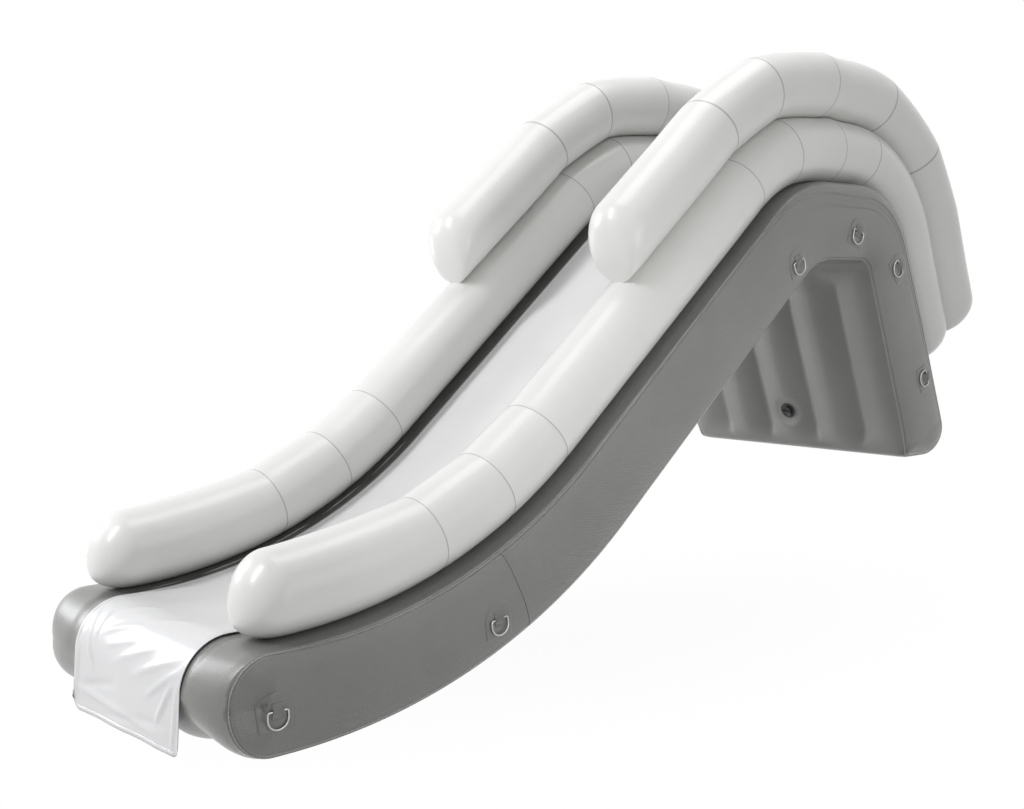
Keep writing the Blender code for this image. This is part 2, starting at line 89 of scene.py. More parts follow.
# degrees past which an edge of an inflated skin, or of a moulding, is sharp
SOFT_EDGE = 75
MOULDED_EDGE = 35


class Slot(Enum):
    """The record's material slots."""

    GREY_PVC = "grey_pvc"
    WHITE_PVC = "white_pvc"
    WHITE_LINER = "white_liner"
    WEB_FABRIC = "web_fabric"
    STAINLESS = "stainless"
    BLACK_PLASTIC = "black_plastic"
    RED_PLASTIC = "red_plastic"


class Trim(Enum):
    """Narrow details in shades apart from the cloth round them: the piping's lighter grey is painted
    highlight, the joint's near-black is painted shade, and the webbing and the pad keep their own tones.
    """

    PIPING = "piping"
    JOINT = "joint"
    WEBBING = "webbing"
    PAD = "pad"


class Side(Enum):
    """The two sides of the slide, with the sign of their X."""

    LEFT = -1
    RIGHT = 1

    @property
    def word(self) -> str:
        """The side's name in node names."""
        return self.name.lower()


def smooth_step(low: float, high: float, value: float) -> float:
    """Eases from 0 at low to 1 at high."""
    share = min(1.0, max(0.0, (value - low) / (high - low)))
    return share * share * (3 - 2 * share)


def hump(value: float, middle: float, width: float) -> float:
    """A rounded hump of height 1 at the middle, which reaches about its width to each side."""
    return math.exp(-((value - middle) / width) ** 2)


def between(table: Sequence[tuple[float, float]], value: float) -> float:
    """Reads a table of (place, amount) with straight steps between its entries.

    Args:
        table: The entries, in rising order of place.
        value: The place to look at.

    Returns:
        The amount there.
    """
    if value <= table[0][0]:
        return table[0][1]
    for (low, first), (high, last) in zip(table, table[1:]):
        if value <= high:
            return first + (last - first) * (value - low) / (high - low)
    return table[-1][1]


# Finishes


class NodeSheet:
    """A material's node tree with short ways to add and join nodes."""

    def __init__(self, name: str) -> None:
        """Makes an empty material.

        Args:
            name: The material's name.
        """
        self.material = bpy.data.materials.new(name)
        self.material.use_nodes = True
        self.tree = self.material.node_tree
        self.shader = self.tree.nodes["Principled BSDF"]

    def node(self, kind: str, **settings: object) -> bpy.types.Node:
        """Adds a node.

        Args:
            kind: The node's type without the leading ShaderNode.
            settings: Attributes to set on it.

        Returns:
            The new node.
        """
        made = self.tree.nodes.new("ShaderNode" + kind)
        for name, value in settings.items():
            setattr(made, name, value)
        return made

    def feed(self, slot: Socket, value: object) -> None:
        """Links a socket to an input, or sets the input to a number or a colour.

        Args:
            slot: The input.
            value: The socket, the number, or the colour's three shares.
        """
        if isinstance(value, bpy.types.NodeSocket):
            self.tree.links.new(value, slot)
        else:
            slot.default_value = (*value, 1.0) if isinstance(value, tuple) else value

    def look(self, **values: object) -> None:
        """Feeds inputs of the shader, whose names are given in lower case with underscores."""
        for name, value in values.items():
            self.feed(self.shader.inputs[name.replace("_", " ").title().replace("Ior", "IOR")], value)

    def sum_up(self, operation: str, *values: object) -> Socket:
        """Adds a Math node.

        Args:
            operation: The node's operation.
            values: A socket or a number for each of its inputs.

        Returns:
            The node's result.
        """
        made = self.node("Math", operation=operation)
        for slot, value in zip(made.inputs, values):
            self.feed(slot, value)
        return made.outputs[0]

    def cloud(self, scale: float, detail: float = 2.0, stretch: Optional[Vector] = None) -> Socket:
        """Adds noise that is fixed to the object.

        Args:
            scale: Patches to a metre.
            detail: Octaves.
            stretch: How much the pattern is squeezed along X, Y and Z.

        Returns:
            The noise from 0 to 1.
        """
        place = self.node("TexCoord").outputs["Object"]
        if stretch is not None:
            mapping = self.node("Mapping")
            mapping.inputs["Scale"].default_value = stretch
            self.feed(mapping.inputs["Vector"], place)
            place = mapping.outputs["Vector"]
        made = self.node("TexNoise")
        made.inputs["Scale"].default_value = scale
        made.inputs["Detail"].default_value = detail
        self.feed(made.inputs["Vector"], place)
        return made.outputs["Fac"]

    def blend(self, share: Socket, first: object, second: object) -> Socket:
        """Blends two colours.

        Args:
            share: How much of the second.
            first: A colour or a socket.
            second: A colour or a socket.

        Returns:
            The blended colour.
        """
        made = self.node("Mix", data_type="RGBA")
        for index, value in ((0, share), (6, first), (7, second)):
            self.feed(made.inputs[index], value)
        return made.outputs[2]

    def spread(self, value: Socket, low: float, high: float, start: float, end: float,
               ease: str = "LINEAR") -> Socket:
        """Maps one range of a value onto another.

        Args:
            value: The value.
            low: The low end of its range.
            high: The high end of its range.
            start: What the low end becomes.
            end: What the high end becomes.
            ease: The node's kind of step between them.

        Returns:
            The mapped value.
        """
        made = self.node("MapRange", interpolation_type=ease)
        self.feed(made.inputs["Value"], value)
        for name, number in (("From Min", low), ("From Max", high), ("To Min", start), ("To Max", end)):
            made.inputs[name].default_value = number
        return made.outputs["Result"]

    def drift(self, scale: float, start: float, end: float, detail: float = 2.0) -> Socket:
        """A value that wanders over the object from start to end, in so many patches to a metre."""
        return self.spread(self.cloud(scale, detail), *NOISE_RANGE, start, end)

    def bump(self, height: Socket, depth: float, under: Optional[Socket] = None) -> Socket:
        """Adds relief.

        Args:
            height: The relief's height from 0 to 1.
            depth: What height 1 is in metres.
            under: Relief that this one lies on.

        Returns:
            The normal.
        """
        made = self.node("Bump")
        made.inputs["Strength"].default_value = 1.0
        made.inputs["Distance"].default_value = depth
        self.feed(made.inputs["Height"], height)
        if under is not None:
            self.feed(made.inputs["Normal"], under)
        return made.outputs["Normal"]

    def mark(self, name: str) -> Socket:
        """Reads one of the mesh's own marks."""
        return self.node("Attribute", attribute_name=name).outputs["Fac"]


@dataclass(frozen=True)
class CoatedFabric:
    """Woven cloth with a coat of PVC, as air chambers and liners are made of."""

    name: str
    colour: Colour
    shade: Colour
    roughness: float
    coat: float
    pitch: float
    weave_depth: float
    crease_depth: float
    # painted shade: a darker line along each weld, for the shade of the seam's step
    line_colour: Optional[Colour] = None
    coat_roughness: float = 0.18
    threads: float = 0.0

    # patches to a metre in its colour, its roughness, its fine gloss and its creases
    TINT_SCALE, ROUGH_SCALE, FINE_SCALE, CREASE_SCALE = 2.3, 6.0, 140.0, 9.0
    CREASE_STRETCH = (1.0, 0.55, 0.55)
    THREAD_PITCH = 0.0122
    SHEEN = 0.35
    ROUGHNESS_DRIFT = 0.05
    FINE_DRIFT = 0.02

    def make(self) -> bpy.types.Material:
        """Builds the material.

        Returns:
            The material.
        """
        sheet = NodeSheet(self.name)
        colour = sheet.blend(sheet.drift(self.TINT_SCALE, 0.0, 1.0, 4.0), self.shade, self.colour)
        fine = sheet.drift(self.FINE_SCALE, -self.FINE_DRIFT, self.FINE_DRIFT, 1.0)
        low, high = self.roughness - self.ROUGHNESS_DRIFT, self.roughness + self.ROUGHNESS_DRIFT
        roughness = sheet.sum_up("ADD", sheet.drift(self.ROUGH_SCALE, low, high), fine)
        creases = sheet.cloud(self.CREASE_SCALE, 3.0, Vector(self.CREASE_STRETCH))
        normal = sheet.bump(creases, self.crease_depth)
        normal = sheet.bump(self.weave(sheet, self.pitch), self.weave_depth, normal)
        if self.threads:
            normal = sheet.bump(self.weave(sheet, self.THREAD_PITCH), self.threads, normal)
        # painted shade: the weld mark turns the colour to the darker weld line
        if self.line_colour is not None:
            colour = sheet.blend(sheet.mark("weld"), colour, self.line_colour)
        sheet.look(coat_weight=self.coat, coat_roughness=self.coat_roughness, specular_ior_level=self.SHEEN,
                   base_color=colour, roughness=roughness, normal=normal)
        return sheet.material

    @staticmethod
    def weave(sheet: NodeSheet, pitch: float) -> Socket:
        """Crossed threads on the piece's own UV map, which is in metres.

        Args:
            sheet: The node tree.
            pitch: Metres from thread to thread.

        Returns:
            The weave's height.
        """
        parts = sheet.node("SeparateXYZ")
        sheet.feed(parts.inputs[0], sheet.node("UVMap").outputs["UV"])
        turns = [sheet.sum_up("MULTIPLY", parts.outputs[name], 2 * math.pi / pitch) for name in ("X", "Y")]
        crossed = sheet.sum_up("MULTIPLY", *[sheet.sum_up("SINE", turn) for turn in turns])
        return sheet.sum_up("MULTIPLY_ADD", crossed, 0.5, 0.5)


@dataclass(frozen=True)
class Solid:
    """A hard stuff: its colour and roughness drift a little, over a fine grain."""

    name: str
    colour: Colour
    shade: Colour
    roughness: float

    METALLIC = 0.0
    TINT_SCALE = 60.0
    RUB_SCALE = 240.0
    RUB_DETAIL = 2.0
    RUB_RANGE = (-0.06, 0.06)
    GRAIN_SCALE = 2500.0
    GRAIN_DEPTH = 0.00005

    def make(self) -> bpy.types.Material:
        """Builds the material.

        Returns:
            The material.
        """
        sheet = NodeSheet(self.name)
        tint = sheet.drift(self.TINT_SCALE, 0.0, 1.0, 3.0)
        low, high = (self.roughness + change for change in self.RUB_RANGE)
        sheet.look(metallic=self.METALLIC, base_color=sheet.blend(tint, self.shade, self.colour),
                   roughness=sheet.drift(self.RUB_SCALE, low, high, self.RUB_DETAIL),
                   normal=sheet.bump(sheet.cloud(self.GRAIN_SCALE), self.GRAIN_DEPTH))
        return sheet.material


class Plastic(Solid):
    """Moulded plastic with a fine grain."""


class Steel(Solid):
    """Polished stainless steel with faint rubbing marks."""

    METALLIC = 1.0
    TINT_SCALE = 70.0
    RUB_SCALE = 420.0
    RUB_DETAIL = 3.0
    RUB_RANGE = (-0.06, 0.1)
    GRAIN_SCALE = 900.0
    GRAIN_DEPTH = 0.00003


@dataclass
class Palette:
    """The slide's finishes, each made once."""

    made: dict[Enum, bpy.types.Material] = field(default_factory=dict)

    def build(self) -> None:
        """Makes every finish."""
        finishes = {
            Slot.GREY_PVC: CoatedFabric(
                "coated_grey", (0.174, 0.174, 0.165), (0.152, 0.152, 0.144), roughness=0.36, coat=1.0,
                pitch=0.0048, weave_depth=0.0004, crease_depth=0.0018, coat_roughness=0.35, threads=0.0011),
            # the white tube's weld lines are painted shade
            Slot.WHITE_PVC: CoatedFabric(
                "coated_white", (0.755, 0.755, 0.737), (0.72, 0.72, 0.702), roughness=0.36, coat=0.45,
                pitch=0.0022, weave_depth=0.00001, crease_depth=0.0012, line_colour=(0.46, 0.46, 0.45),
                coat_roughness=0.17),
            Slot.WHITE_LINER: CoatedFabric(
                "liner_white", (0.715, 0.715, 0.722), (0.68, 0.68, 0.688), roughness=0.34, coat=0.4,
                pitch=0.0018, weave_depth=0.00001, crease_depth=0.0018),
            Slot.WEB_FABRIC: CoatedFabric(
                "web_cloth", (0.74, 0.74, 0.7), (0.66, 0.66, 0.62), roughness=0.75, coat=0.0,
                pitch=0.0016, weave_depth=0.0002, crease_depth=0.0008),
            Slot.STAINLESS: Steel("ring_steel", (0.50, 0.50, 0.49), (0.41, 0.41, 0.4018), 0.30),
            Slot.BLACK_PLASTIC: Plastic("valve_black", (0.016, 0.016, 0.017), (0.010, 0.010, 0.011), 0.5),
            Slot.RED_PLASTIC: Plastic("poppet_red", (0.55, 0.04, 0.03), (0.45, 0.03, 0.025), 0.4),
            # painted highlight: the piping is a lighter grey than the cloth, for the light its bead catches
            Trim.PIPING: CoatedFabric(
                "piping_grey", (0.38, 0.38, 0.368), (0.27, 0.27, 0.262), roughness=0.34, coat=0.4,
                pitch=0.0105, weave_depth=0.002, crease_depth=0.0008),
            Trim.WEBBING: CoatedFabric(
                "webbing_grey", (0.26, 0.26, 0.25), (0.2, 0.2, 0.193), roughness=0.6, coat=0.05,
                pitch=0.0023, weave_depth=0.0004, crease_depth=0.0003),
            Trim.PAD: CoatedFabric(
                "pad_grey", (0.17, 0.17, 0.161), (0.148, 0.148, 0.14), roughness=0.4, coat=0.9,
                pitch=0.0048, weave_depth=0.0003, crease_depth=0.0008, coat_roughness=0.3),
            # painted shade: the lap joint is near-black, for the shade of the lap's step
            Trim.JOINT: CoatedFabric(
                "joint_grey", (0.075, 0.075, 0.07), (0.06, 0.06, 0.057), roughness=0.5, coat=0.0,
                pitch=0.0045, weave_depth=0.0002, crease_depth=0.0008),
        }
        self.made = {use: finish.make() for use, finish in finishes.items()}

    def of(self, slot: Slot, trim: Optional[Trim] = None) -> bpy.types.Material:
        """The material of a slot, or of a trim made in the slot's stuff."""
        return self.made[slot if trim is None else trim]


# Shared ways of making meshes


def laid_grid(columns: int, rows: int, place: Place, measure: Measure,
              marks: Optional[dict[str, Mark]] = None) -> bmesh.types.BMesh:
    """A grid whose points are laid one by one on a surface, with a UV map in metres.

    Args:
        columns: Faces across.
        rows: Faces along.
        place: Gives the point of a column and row.
        measure: Gives the UV of a column and row.
        marks: Named numbers to keep on every point.

    Returns:
        The mesh, with doubled points merged, so that a grid whose sides meet is closed.
    """
    bm = bmesh.new()
    bmesh.ops.create_grid(bm, x_segments=columns, y_segments=rows, size=1.0, calc_uvs=True)
    uv = bm.loops.layers.uv.verify()
    layers = {name: bm.verts.layers.float.new(name) for name in marks or {}}
    cells = {vert: (round((vert.co.x + 1) / 2 * columns), round((vert.co.y + 1) / 2 * rows))
             for vert in bm.verts}
    for face in bm.faces:
        for loop in face.loops:
            loop[uv].uv = measure(*cells[loop.vert])
    for vert, cell in cells.items():
        vert.co = place(*cell)
        for name, layer in layers.items():
            vert[layer] = marks[name](*cell)
    bmesh.ops.remove_doubles(bm, verts=bm.verts, dist=DOUBLES)
    return bm


def tube(path: Sequence[Vector], radius: float, sides: int, closed: bool) -> bmesh.types.BMesh:
    """A round bar that follows a path.

    Args:
        path: The points of its centre line.
        radius: Its radius.
        sides: Faces round it.
        closed: Whether its end joins its start.

    Returns:
        The mesh.
    """
    count = len(path)
    frames = []
    # a first way across, which no path here runs along
    across = Vector((0.31, 0.2, 0.93))
    travelled = [0.0]
    for index, point in enumerate(path):
        before = path[(index - 1) % count] if closed or index else point
        after = path[(index + 1) % count] if closed or index < count - 1 else point
        way = (after - before).normalized()
        across = (across - way * across.dot(way)).normalized()
        frames.append((point, across.copy(), way.cross(across)))
        travelled.append(travelled[-1] + (after - point).length)
    if closed:
        frames.append(frames[0])
    turns = [2 * math.pi * (column % sides) / sides for column in range(sides + 1)]

    def place(column: int, row: int) -> Vector:
        """A point on the bar's skin."""
        point, first, second = frames[row]
        return point + (first * math.cos(turns[column]) + second * math.sin(turns[column])) * radius

    bm = laid_grid(sides, len(frames) - 1, place,
                   lambda column, row: (2 * math.pi * radius * column / sides, travelled[row]))
    if not closed:
        bmesh.ops.holes_fill(bm, edges=[edge for edge in bm.edges if edge.is_boundary], sides=sides)
    return bm


def join_meshes(first: bmesh.types.BMesh, second: bmesh.types.BMesh) -> bmesh.types.BMesh:
    """Adds the second mesh to the first.

    Args:
        first: The mesh that is kept.
        second: The mesh that is added, and then freed.

    Returns:
        The first mesh.
    """
    held = bpy.data.meshes.new("held")
    second.to_mesh(held)
    second.free()
    first.from_mesh(held)
    bpy.data.meshes.remove(held)
    return first


def finished(bm: bmesh.types.BMesh, name: str, slot: Slot, palette: Palette, body: str,
             replaces: Sequence[str] = (), sharp: float = 50.0, move: Optional[Matrix] = None,
             trim: Optional[Trim] = None) -> bpy.types.Object:
    """Turns a mesh into a piece of the slide.

    Args:
        bm: The mesh, which is freed.
        name: The piece's name.
        slot: The record's slot, which picks the finish.
        palette: The finishes.
        body: The body that it rides on.
        replaces: The nodes that it stands for.
        sharp: Edges sharper than this many degrees stay sharp.
        move: Where the mesh goes.
        trim: A shade apart from the slot's finish, which is painted highlight on the piping and painted shade
            on the lap joint.

    Returns:
        The piece.
    """
    if move is not None:
        bmesh.ops.transform(bm, matrix=move, verts=bm.verts)
    bmesh.ops.recalc_face_normals(bm, faces=bm.faces)
    mesh = bpy.data.meshes.new(name)
    bm.to_mesh(mesh)
    bm.free()
    mesh.shade_smooth()
    mesh.set_sharp_from_angle(angle=math.radians(sharp))
    mesh.materials.append(palette.of(slot, trim))
    piece = bpy.data.objects.new(name, mesh)
    bpy.context.scene.collection.objects.link(piece)
    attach(piece, body)
    if replaces:
        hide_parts(*replaces)
    return piece


def thicken(piece: bpy.types.Object, thickness: float, offset: float) -> None:
    """Gives a laid surface its thickness.

    Args:
        piece: The piece.
        thickness: Its thickness.
        offset: -1 grows inwards, 0 to both sides and 1 outwards.
    """
    wall = piece.modifiers.new("thickness", "SOLIDIFY")
    wall.thickness = thickness
    wall.offset = offset
    wall.use_even_offset = True


# The deck line


@dataclass(frozen=True)
class Span:
    """A straight or an arc of the deck line."""

    length: float
    start_turn: float
    end_turn: float

    def step(self, start: Vector, distance: float) -> Vector:
        """The point a distance into the span.

        Args:
            start: Where the span starts.
            distance: How far in.

        Returns:
            The point.
        """
        turn = self.end_turn - self.start_turn
        if abs(turn) < 1e-9:
            return start + Vector((0, math.cos(self.start_turn), math.sin(self.start_turn))) * distance
        radius = self.length / turn
        now = self.start_turn + turn * distance / self.length
        return start + Vector((0, math.sin(now) - math.sin(self.start_turn),
                               math.cos(self.start_turn) - math.cos(now))) * radius


@dataclass
class DeckLine:
    """The deck line from the toe to the leg's foot, with the sizes of part.py."""

    toe: float = 0.05
    runout_radius: float = 2.42
    ramp_angle: float = math.radians(39.9)
    ramp: float = 1.71
    crest_front_radius: float = 0.75
    crest: float = 0.252
    crest_rear_radius: float = 0.494
    leg_angle: float = math.radians(68.1)
    leg: float = 1.274
    thickness: float = 0.406
    foot_back_radius: float = 0.14
    foot_inner_radius: float = 0.05
    foot_clear: float = 0.02

    def __post_init__(self) -> None:
        """Lays the spans end to end, and puts the middle of the foot at the origin."""
        up, down = self.ramp_angle, -self.leg_angle
        self.spans = [
            Span(self.toe, 0.0, 0.0), Span(self.runout_radius * up, 0.0, up), Span(self.ramp, up, up),
            Span(self.crest_front_radius * up, up, 0.0), Span(self.crest, 0.0, 0.0),
            Span(self.crest_rear_radius * self.leg_angle, 0.0, down), Span(self.leg, down, down),
        ]
        self.starts = [0.0]
        corners = [Vector((0, 0, 0))]
        for span in self.spans:
            corners.append(span.step(corners[-1], span.length))
            self.starts.append(self.starts[-1] + span.length)
        back, front = self.foot_flat()
        shift = Vector((0, corners[-1].y + (back + front) / 2, corners[-1].z))
        self.corners = [corner - shift for corner in corners]
        self.ramp_start, self.crest_start, self.leg_start, self.leg_end = (
            self.starts[index] for index in (2, 3, 6, 7))

    def foot_flat(self) -> tuple[float, float]:
        """Both ends of the foot's flat, from where the deck line meets its plane.

        Returns:
            How far its back end and its front end lie from there, along Y.
        """
        slant = math.tan(self.leg_angle / 2)
        front = -self.thickness / math.sin(self.leg_angle) + self.foot_inner_radius * slant
        return -self.foot_back_radius / slant, front

    def locate(self, distance: float) -> int:
        """The span that a distance lies in."""
        return max(index for index in range(len(self.spans)) if distance >= self.starts[index] or index == 0)

    def heading(self, distance: float) -> float:
        """The line's slope.

        Args:
            distance: How far along the line.

        Returns:
            The slope in radians.
        """
        index = self.locate(distance)
        span = self.spans[index]
        turn = span.end_turn - span.start_turn
        return span.start_turn + turn * (distance - self.starts[index]) / span.length

    def inward(self, distance: float) -> Vector:
        """The way from the deck into the chamber, square to the line."""
        turn = self.heading(distance)
        return Vector((0, math.sin(turn), -math.cos(turn)))

    def along(self, distance: float) -> Vector:
        """The way along the line."""
        turn = self.heading(distance)
        return Vector((0, math.cos(turn), math.sin(turn)))

    def point(self, distance: float, depth: float = 0.0, x: float = 0.0) -> Vector:
        """A point on or below the line.

        Args:
            distance: How far along the line.
            depth: How far below it.
            x: How far to the right.

        Returns:
            The point.
        """
        index = self.locate(distance)
        spot = self.spans[index].step(self.corners[index], distance - self.starts[index])
        return spot + self.inward(distance) * depth + Vector((x, 0, 0))

    @property
    def last_square(self) -> float:
        """The last square section of the leg, above both roundings of the foot.

        Returns:
            Its distance along the line.
        """
        back_height = self.foot_back_radius / math.tan(self.leg_angle / 2)
        inner_rise = self.foot_inner_radius * math.tan(self.leg_angle / 2)
        across = self.thickness / math.tan(self.leg_angle)
        return self.leg_end - max(back_height, inner_rise + across) - self.foot_clear


def steps_between(start: float, end: float, pitch: float, extra: Sequence[float] = ()) -> list[float]:
    """Places from start to end, no further apart than the pitch.

    Args:
        start: The first place.
        end: The last place.
        pitch: The widest step.
        extra: Places that are kept as well.

    Returns:
        The places in order.
    """
    count = max(1, math.ceil((end - start) / pitch))
    found = {round(start + (end - start) * index / count, 6) for index in range(count + 1)}
    found |= {round(place, 6) for place in extra if start < place < end}
    ordered = sorted(found)
    nearest = 2e-4
    return [place for index, place in enumerate(ordered)
            if index == 0 or place - ordered[index - 1] > nearest]


# The base chamber


@dataclass(frozen=True)
class RimRow:
    """One crosswise row of the base: its deck and underside edges, and how they look inwards.

    ribs is how much of its ribs a row has, nose how far round the nose it is, and seam its seam's depth.
    """

    deck: Vector
    deck_in: Vector
    under: Vector
    under_in: Vector
    along: float
    ribs: float
    nose: float
    seam: float


@dataclass
class BaseChamber:
    """The ribbed air chamber: deck, rounded nose, side panels, ribbed underside and level foot."""

    line: DeckLine
    half_width: float = 0.742
    bulge: float = 0.034
    bulge_power: float = 2.5
    edge_drop: float = 0.008
    edge_from: float = 0.70
    web_pitch: float = 0.326
    deck_channel: float = 0.008
    rib_channel: float = 0.0298
    rib_crown: float = 0.013
    crown_until: float = 0.62
    rail_seat: float = 0.525
    liner_seat: float = 0.0015
    liner_edge: float = 0.46
    end_inset: float = 0.035
    nose_sweep: float = 0.04
    sweep_from: float = 0.48
    valley: float = 0.0068
    valley_width: float = 0.0034
    shoulder: float = 0.0022
    bead_radius: float = 0.0041
    joint_radius: float = 0.0014
    valve_height: float = 0.242
    valve_flat: tuple[float, float] = (0.052, 0.105)
    across: int = 96
    middle: int = 8
    row_pitch: float = 0.03

    # how deep the seam lies under the deck's edge, by distance along the line
    SEAM = [(-0.25, 0.012), (0.0, 0.015), (0.4, 0.022), (1.7, 0.022), (2.6, 0.015), (3.2, 0.014),
            (3.5, 0.032), (3.8, 0.058), (4.1, 0.078), (4.8, 0.078), (5.3, 0.05), (5.8, 0.03)]
    # the side panel's points about the seam, and those further in
    CLUSTER = (-0.010, -0.0058, -0.003, 0.0, 0.003, 0.0058, 0.009)
    CLUSTER_ROOM = 0.0115
    BELOW = (0.0125, 0.017, 0.022, 0.028, 0.036, 0.047)
    # the welts beside the seam: place, width and share of the shoulder
    SHOULDERS = ((0.012, 0.007, 1.0), (-0.010, 0.005, 0.6))
    # the lap joint's distance along the line, by depth
    JOINT = [(0.0, 1.095), (0.06, 1.113), (0.136, 1.126), (0.264, 1.13), (0.353, 1.12), (0.406, 1.11)]
    FOOT_SEAM = 0.012
    SEAM_DRIFT = 0.018
    REACH = 0.135
    FOOT_REACH = 0.085
    # distances past the last square row: where the foot's turning rows start and how far they run, where its
    # flat starts, and where narrowing, ribs and the side panel change
    TURN_START = 0.1
    TURN_RUN = 0.25
    FLAT_START = 0.35
    NARROW_FROM = -0.2
    RIBS_UNTIL = -0.3
    FOOT_FROM = 0.05
    FOOT_FADE = 0.9
    FLAT_RIBS = 0.15
    # how the side panel's rows on the foot's flat draw towards its outline
    BACK_DRAW, INNER_REACH, INNER_DRAW = 0.7, 0.5, 0.2
    # the ribs' heights above the foot, and the lengths in which they fade on the crest and return on the leg
    RIBS_RISE = (0.02, 0.13)
    CREST_FADE, LEG_FADE = 0.15, 0.1
    BEAD_PROUD = 0.3

    @property
    def valve_place(self) -> float:
        """Where along the line the valve sits on the leg's inner face."""
        return self.line.leg_end - self.valve_height - self.line.thickness / math.tan(self.line.leg_angle)

    def square_row(self, distance: float) -> RimRow:
        """A row that is square to the deck line.

        Args:
            distance: How far along the line.

        Returns:
            The row.
        """
        line = self.line
        return RimRow(line.point(distance), line.inward(distance), line.point(distance, line.thickness),
                      -line.inward(distance), distance, 1.0, 0.0, between(self.SEAM, distance))

    def rows(self) -> list[RimRow]:
        """Every row from the nose's front to the middle of the foot.

        Returns:
            The rows in order.
        """
        line = self.line
        radius = line.thickness / 2
        centre = line.point(0, radius)
        steps = 18
        found = []
        for step in range(steps, 0, -1):
            turn = math.pi / 2 * step / steps
            ahead, height = math.sin(turn), math.cos(turn)
            spot = -radius * turn
            found.append(RimRow(centre + Vector((0, -ahead, height)) * radius, Vector((0, ahead, -height)),
                                centre + Vector((0, -ahead, -height)) * radius, Vector((0, ahead, height)),
                                spot, height, 1 - height, between(self.SEAM, spot)))
        valve = [self.valve_place + VALVE_PITCH * step for step in range(-8, 9)]
        found += [self.square_row(distance)
                  for distance in steps_between(0.0, line.last_square, self.row_pitch, valve)]
        return found + self.foot_rows(found[-1].along)

    def foot_rows(self, start: float) -> list[RimRow]:
        """The rows round the foot's roundings, and along its flat to the middle.

        Args:
            start: Distance along the line of the last square row.

        Returns:
            The rows.
        """
        line = self.line
        back, front = line.foot_flat()
        half = (back - front) / 2
        back_centre = Vector((0, half, line.foot_back_radius))
        front_centre = Vector((0, -half, line.foot_inner_radius))
        steps, flat_steps = 8, 6
        found = []
        for step in range(steps + 1):
            share = step / steps
            back_turn = line.leg_angle + (math.pi - line.leg_angle) * share
            front_turn = line.leg_angle * (1 - share)
            back_in = Vector((0, -math.sin(back_turn), -math.cos(back_turn)))
            front_in = Vector((0, math.sin(front_turn), math.cos(front_turn)))
            found.append(RimRow(back_centre - back_in * line.foot_back_radius, back_in,
                                front_centre - front_in * line.foot_inner_radius, front_in,
                                start + self.TURN_START + self.TURN_RUN * share,
                                math.cos(math.pi / 2 * share * self.FOOT_FADE), 0.0,
                                self.FOOT_SEAM + self.SEAM_DRIFT * (1 - share)))
        up = Vector((0, 0, 1))
        for step in range(1, flat_steps + 1):
            share = step / flat_steps
            offset = half * (1 - share)
            found.append(RimRow(Vector((0, offset, 0)), up, Vector((0, -offset, 0)), up,
                                start + self.FLAT_START + half * share, self.FLAT_RIBS * (1 - share), 0.0,
                                self.FOOT_SEAM))
        return found

    def rib_share(self, x: float, rim: float) -> float:
        """How deep a channel is at x.

        Args:
            x: How far to the right.
            rim: Where the outermost channel has run out.

        Returns:
            1 on a web's line, 0 on a crown.
        """
        outer = 1.5 * self.web_pitch
        if abs(x) > outer:
            gap = (abs(x) - outer) / (rim - outer)
        else:
            gap = abs((x / self.web_pitch) % 1 - 0.5) * 2
        return max(0.0, 1 - gap)

    def rib_left(self, row: RimRow, under: bool) -> float:
        """How much of the channels a row has: they run out above the foot, and under the crest.

        Args:
            row: The crosswise row.
            under: Whether it is on the underside.

        Returns:
            1 where they are whole, 0 where there are none.
        """
        line = self.line
        share = 1.0
        if row.along > line.last_square + self.RIBS_UNTIL:
            share = smooth_step(*self.RIBS_RISE, row.under.z if under else row.deck.z)
        if under:
            on_crest = smooth_step(line.crest_start, line.crest_start + self.CREST_FADE, row.along)
            on_leg = smooth_step(line.leg_start, line.leg_start + self.LEG_FADE, row.along)
            share *= 1 - on_crest * (1 - on_leg)
        return share

    def edge_depth(self, x: float) -> float:
        """How far a panel has rounded off towards the side panel at x."""
        return smooth_step(self.edge_from, self.half_width, abs(x)) * self.edge_drop

    def side_offset(self, depth: float, seam: float) -> float:
        """How far the side panel stands out from the panel's edge.

        Args:
            depth: How far inside the rim.
            seam: Where the seam lies.

        Returns:
            The offset.
        """
        middle = self.line.thickness / 2
        share = min(1.0, max(-1.0, (depth - middle) / (middle - self.edge_drop)))
        swell = self.bulge * math.sqrt(max(0.0, 1 - abs(share) ** self.bulge_power))
        groove = self.valley * hump(depth, seam, self.valley_width)
        welts = sum(part * hump(depth, seam + place, width) for place, width, part in self.SHOULDERS)
        return swell - groove + self.shoulder * welts

    def side_depths(self, seam: float) -> list[float]:
        """The side panel's points from its edge inwards, crowded round the seam.

        Args:
            seam: Where the seam lies.

        Returns:
            Depths inside the rim.
        """
        near = min(1.0, (seam - self.edge_drop) / self.CLUSTER_ROOM)
        offsets = [offset * (near if offset < 0 else 1.0) for offset in self.CLUSTER]
        start = seam + offsets[0]
        lead = [self.edge_drop + (start - self.edge_drop) * step / 3 for step in (1, 2)]
        return lead + [seam + offset for offset in (*offsets, *self.BELOW)]

    def foot_pull(self, height: float) -> float:
        """How far the foot is drawn in.

        Args:
            height: The height above the foot's flat.

        Returns:
            A share, from 0 above the back rounding to nearly 1 on the flat.
        """
        whole = math.pi - self.line.leg_angle
        turn = math.acos(max(-1.0, 1 - max(0.0, height) / self.line.foot_back_radius))
        return 1 - math.cos(math.pi / 2 * self.FOOT_FADE * (1 - min(1.0, turn / whole)))

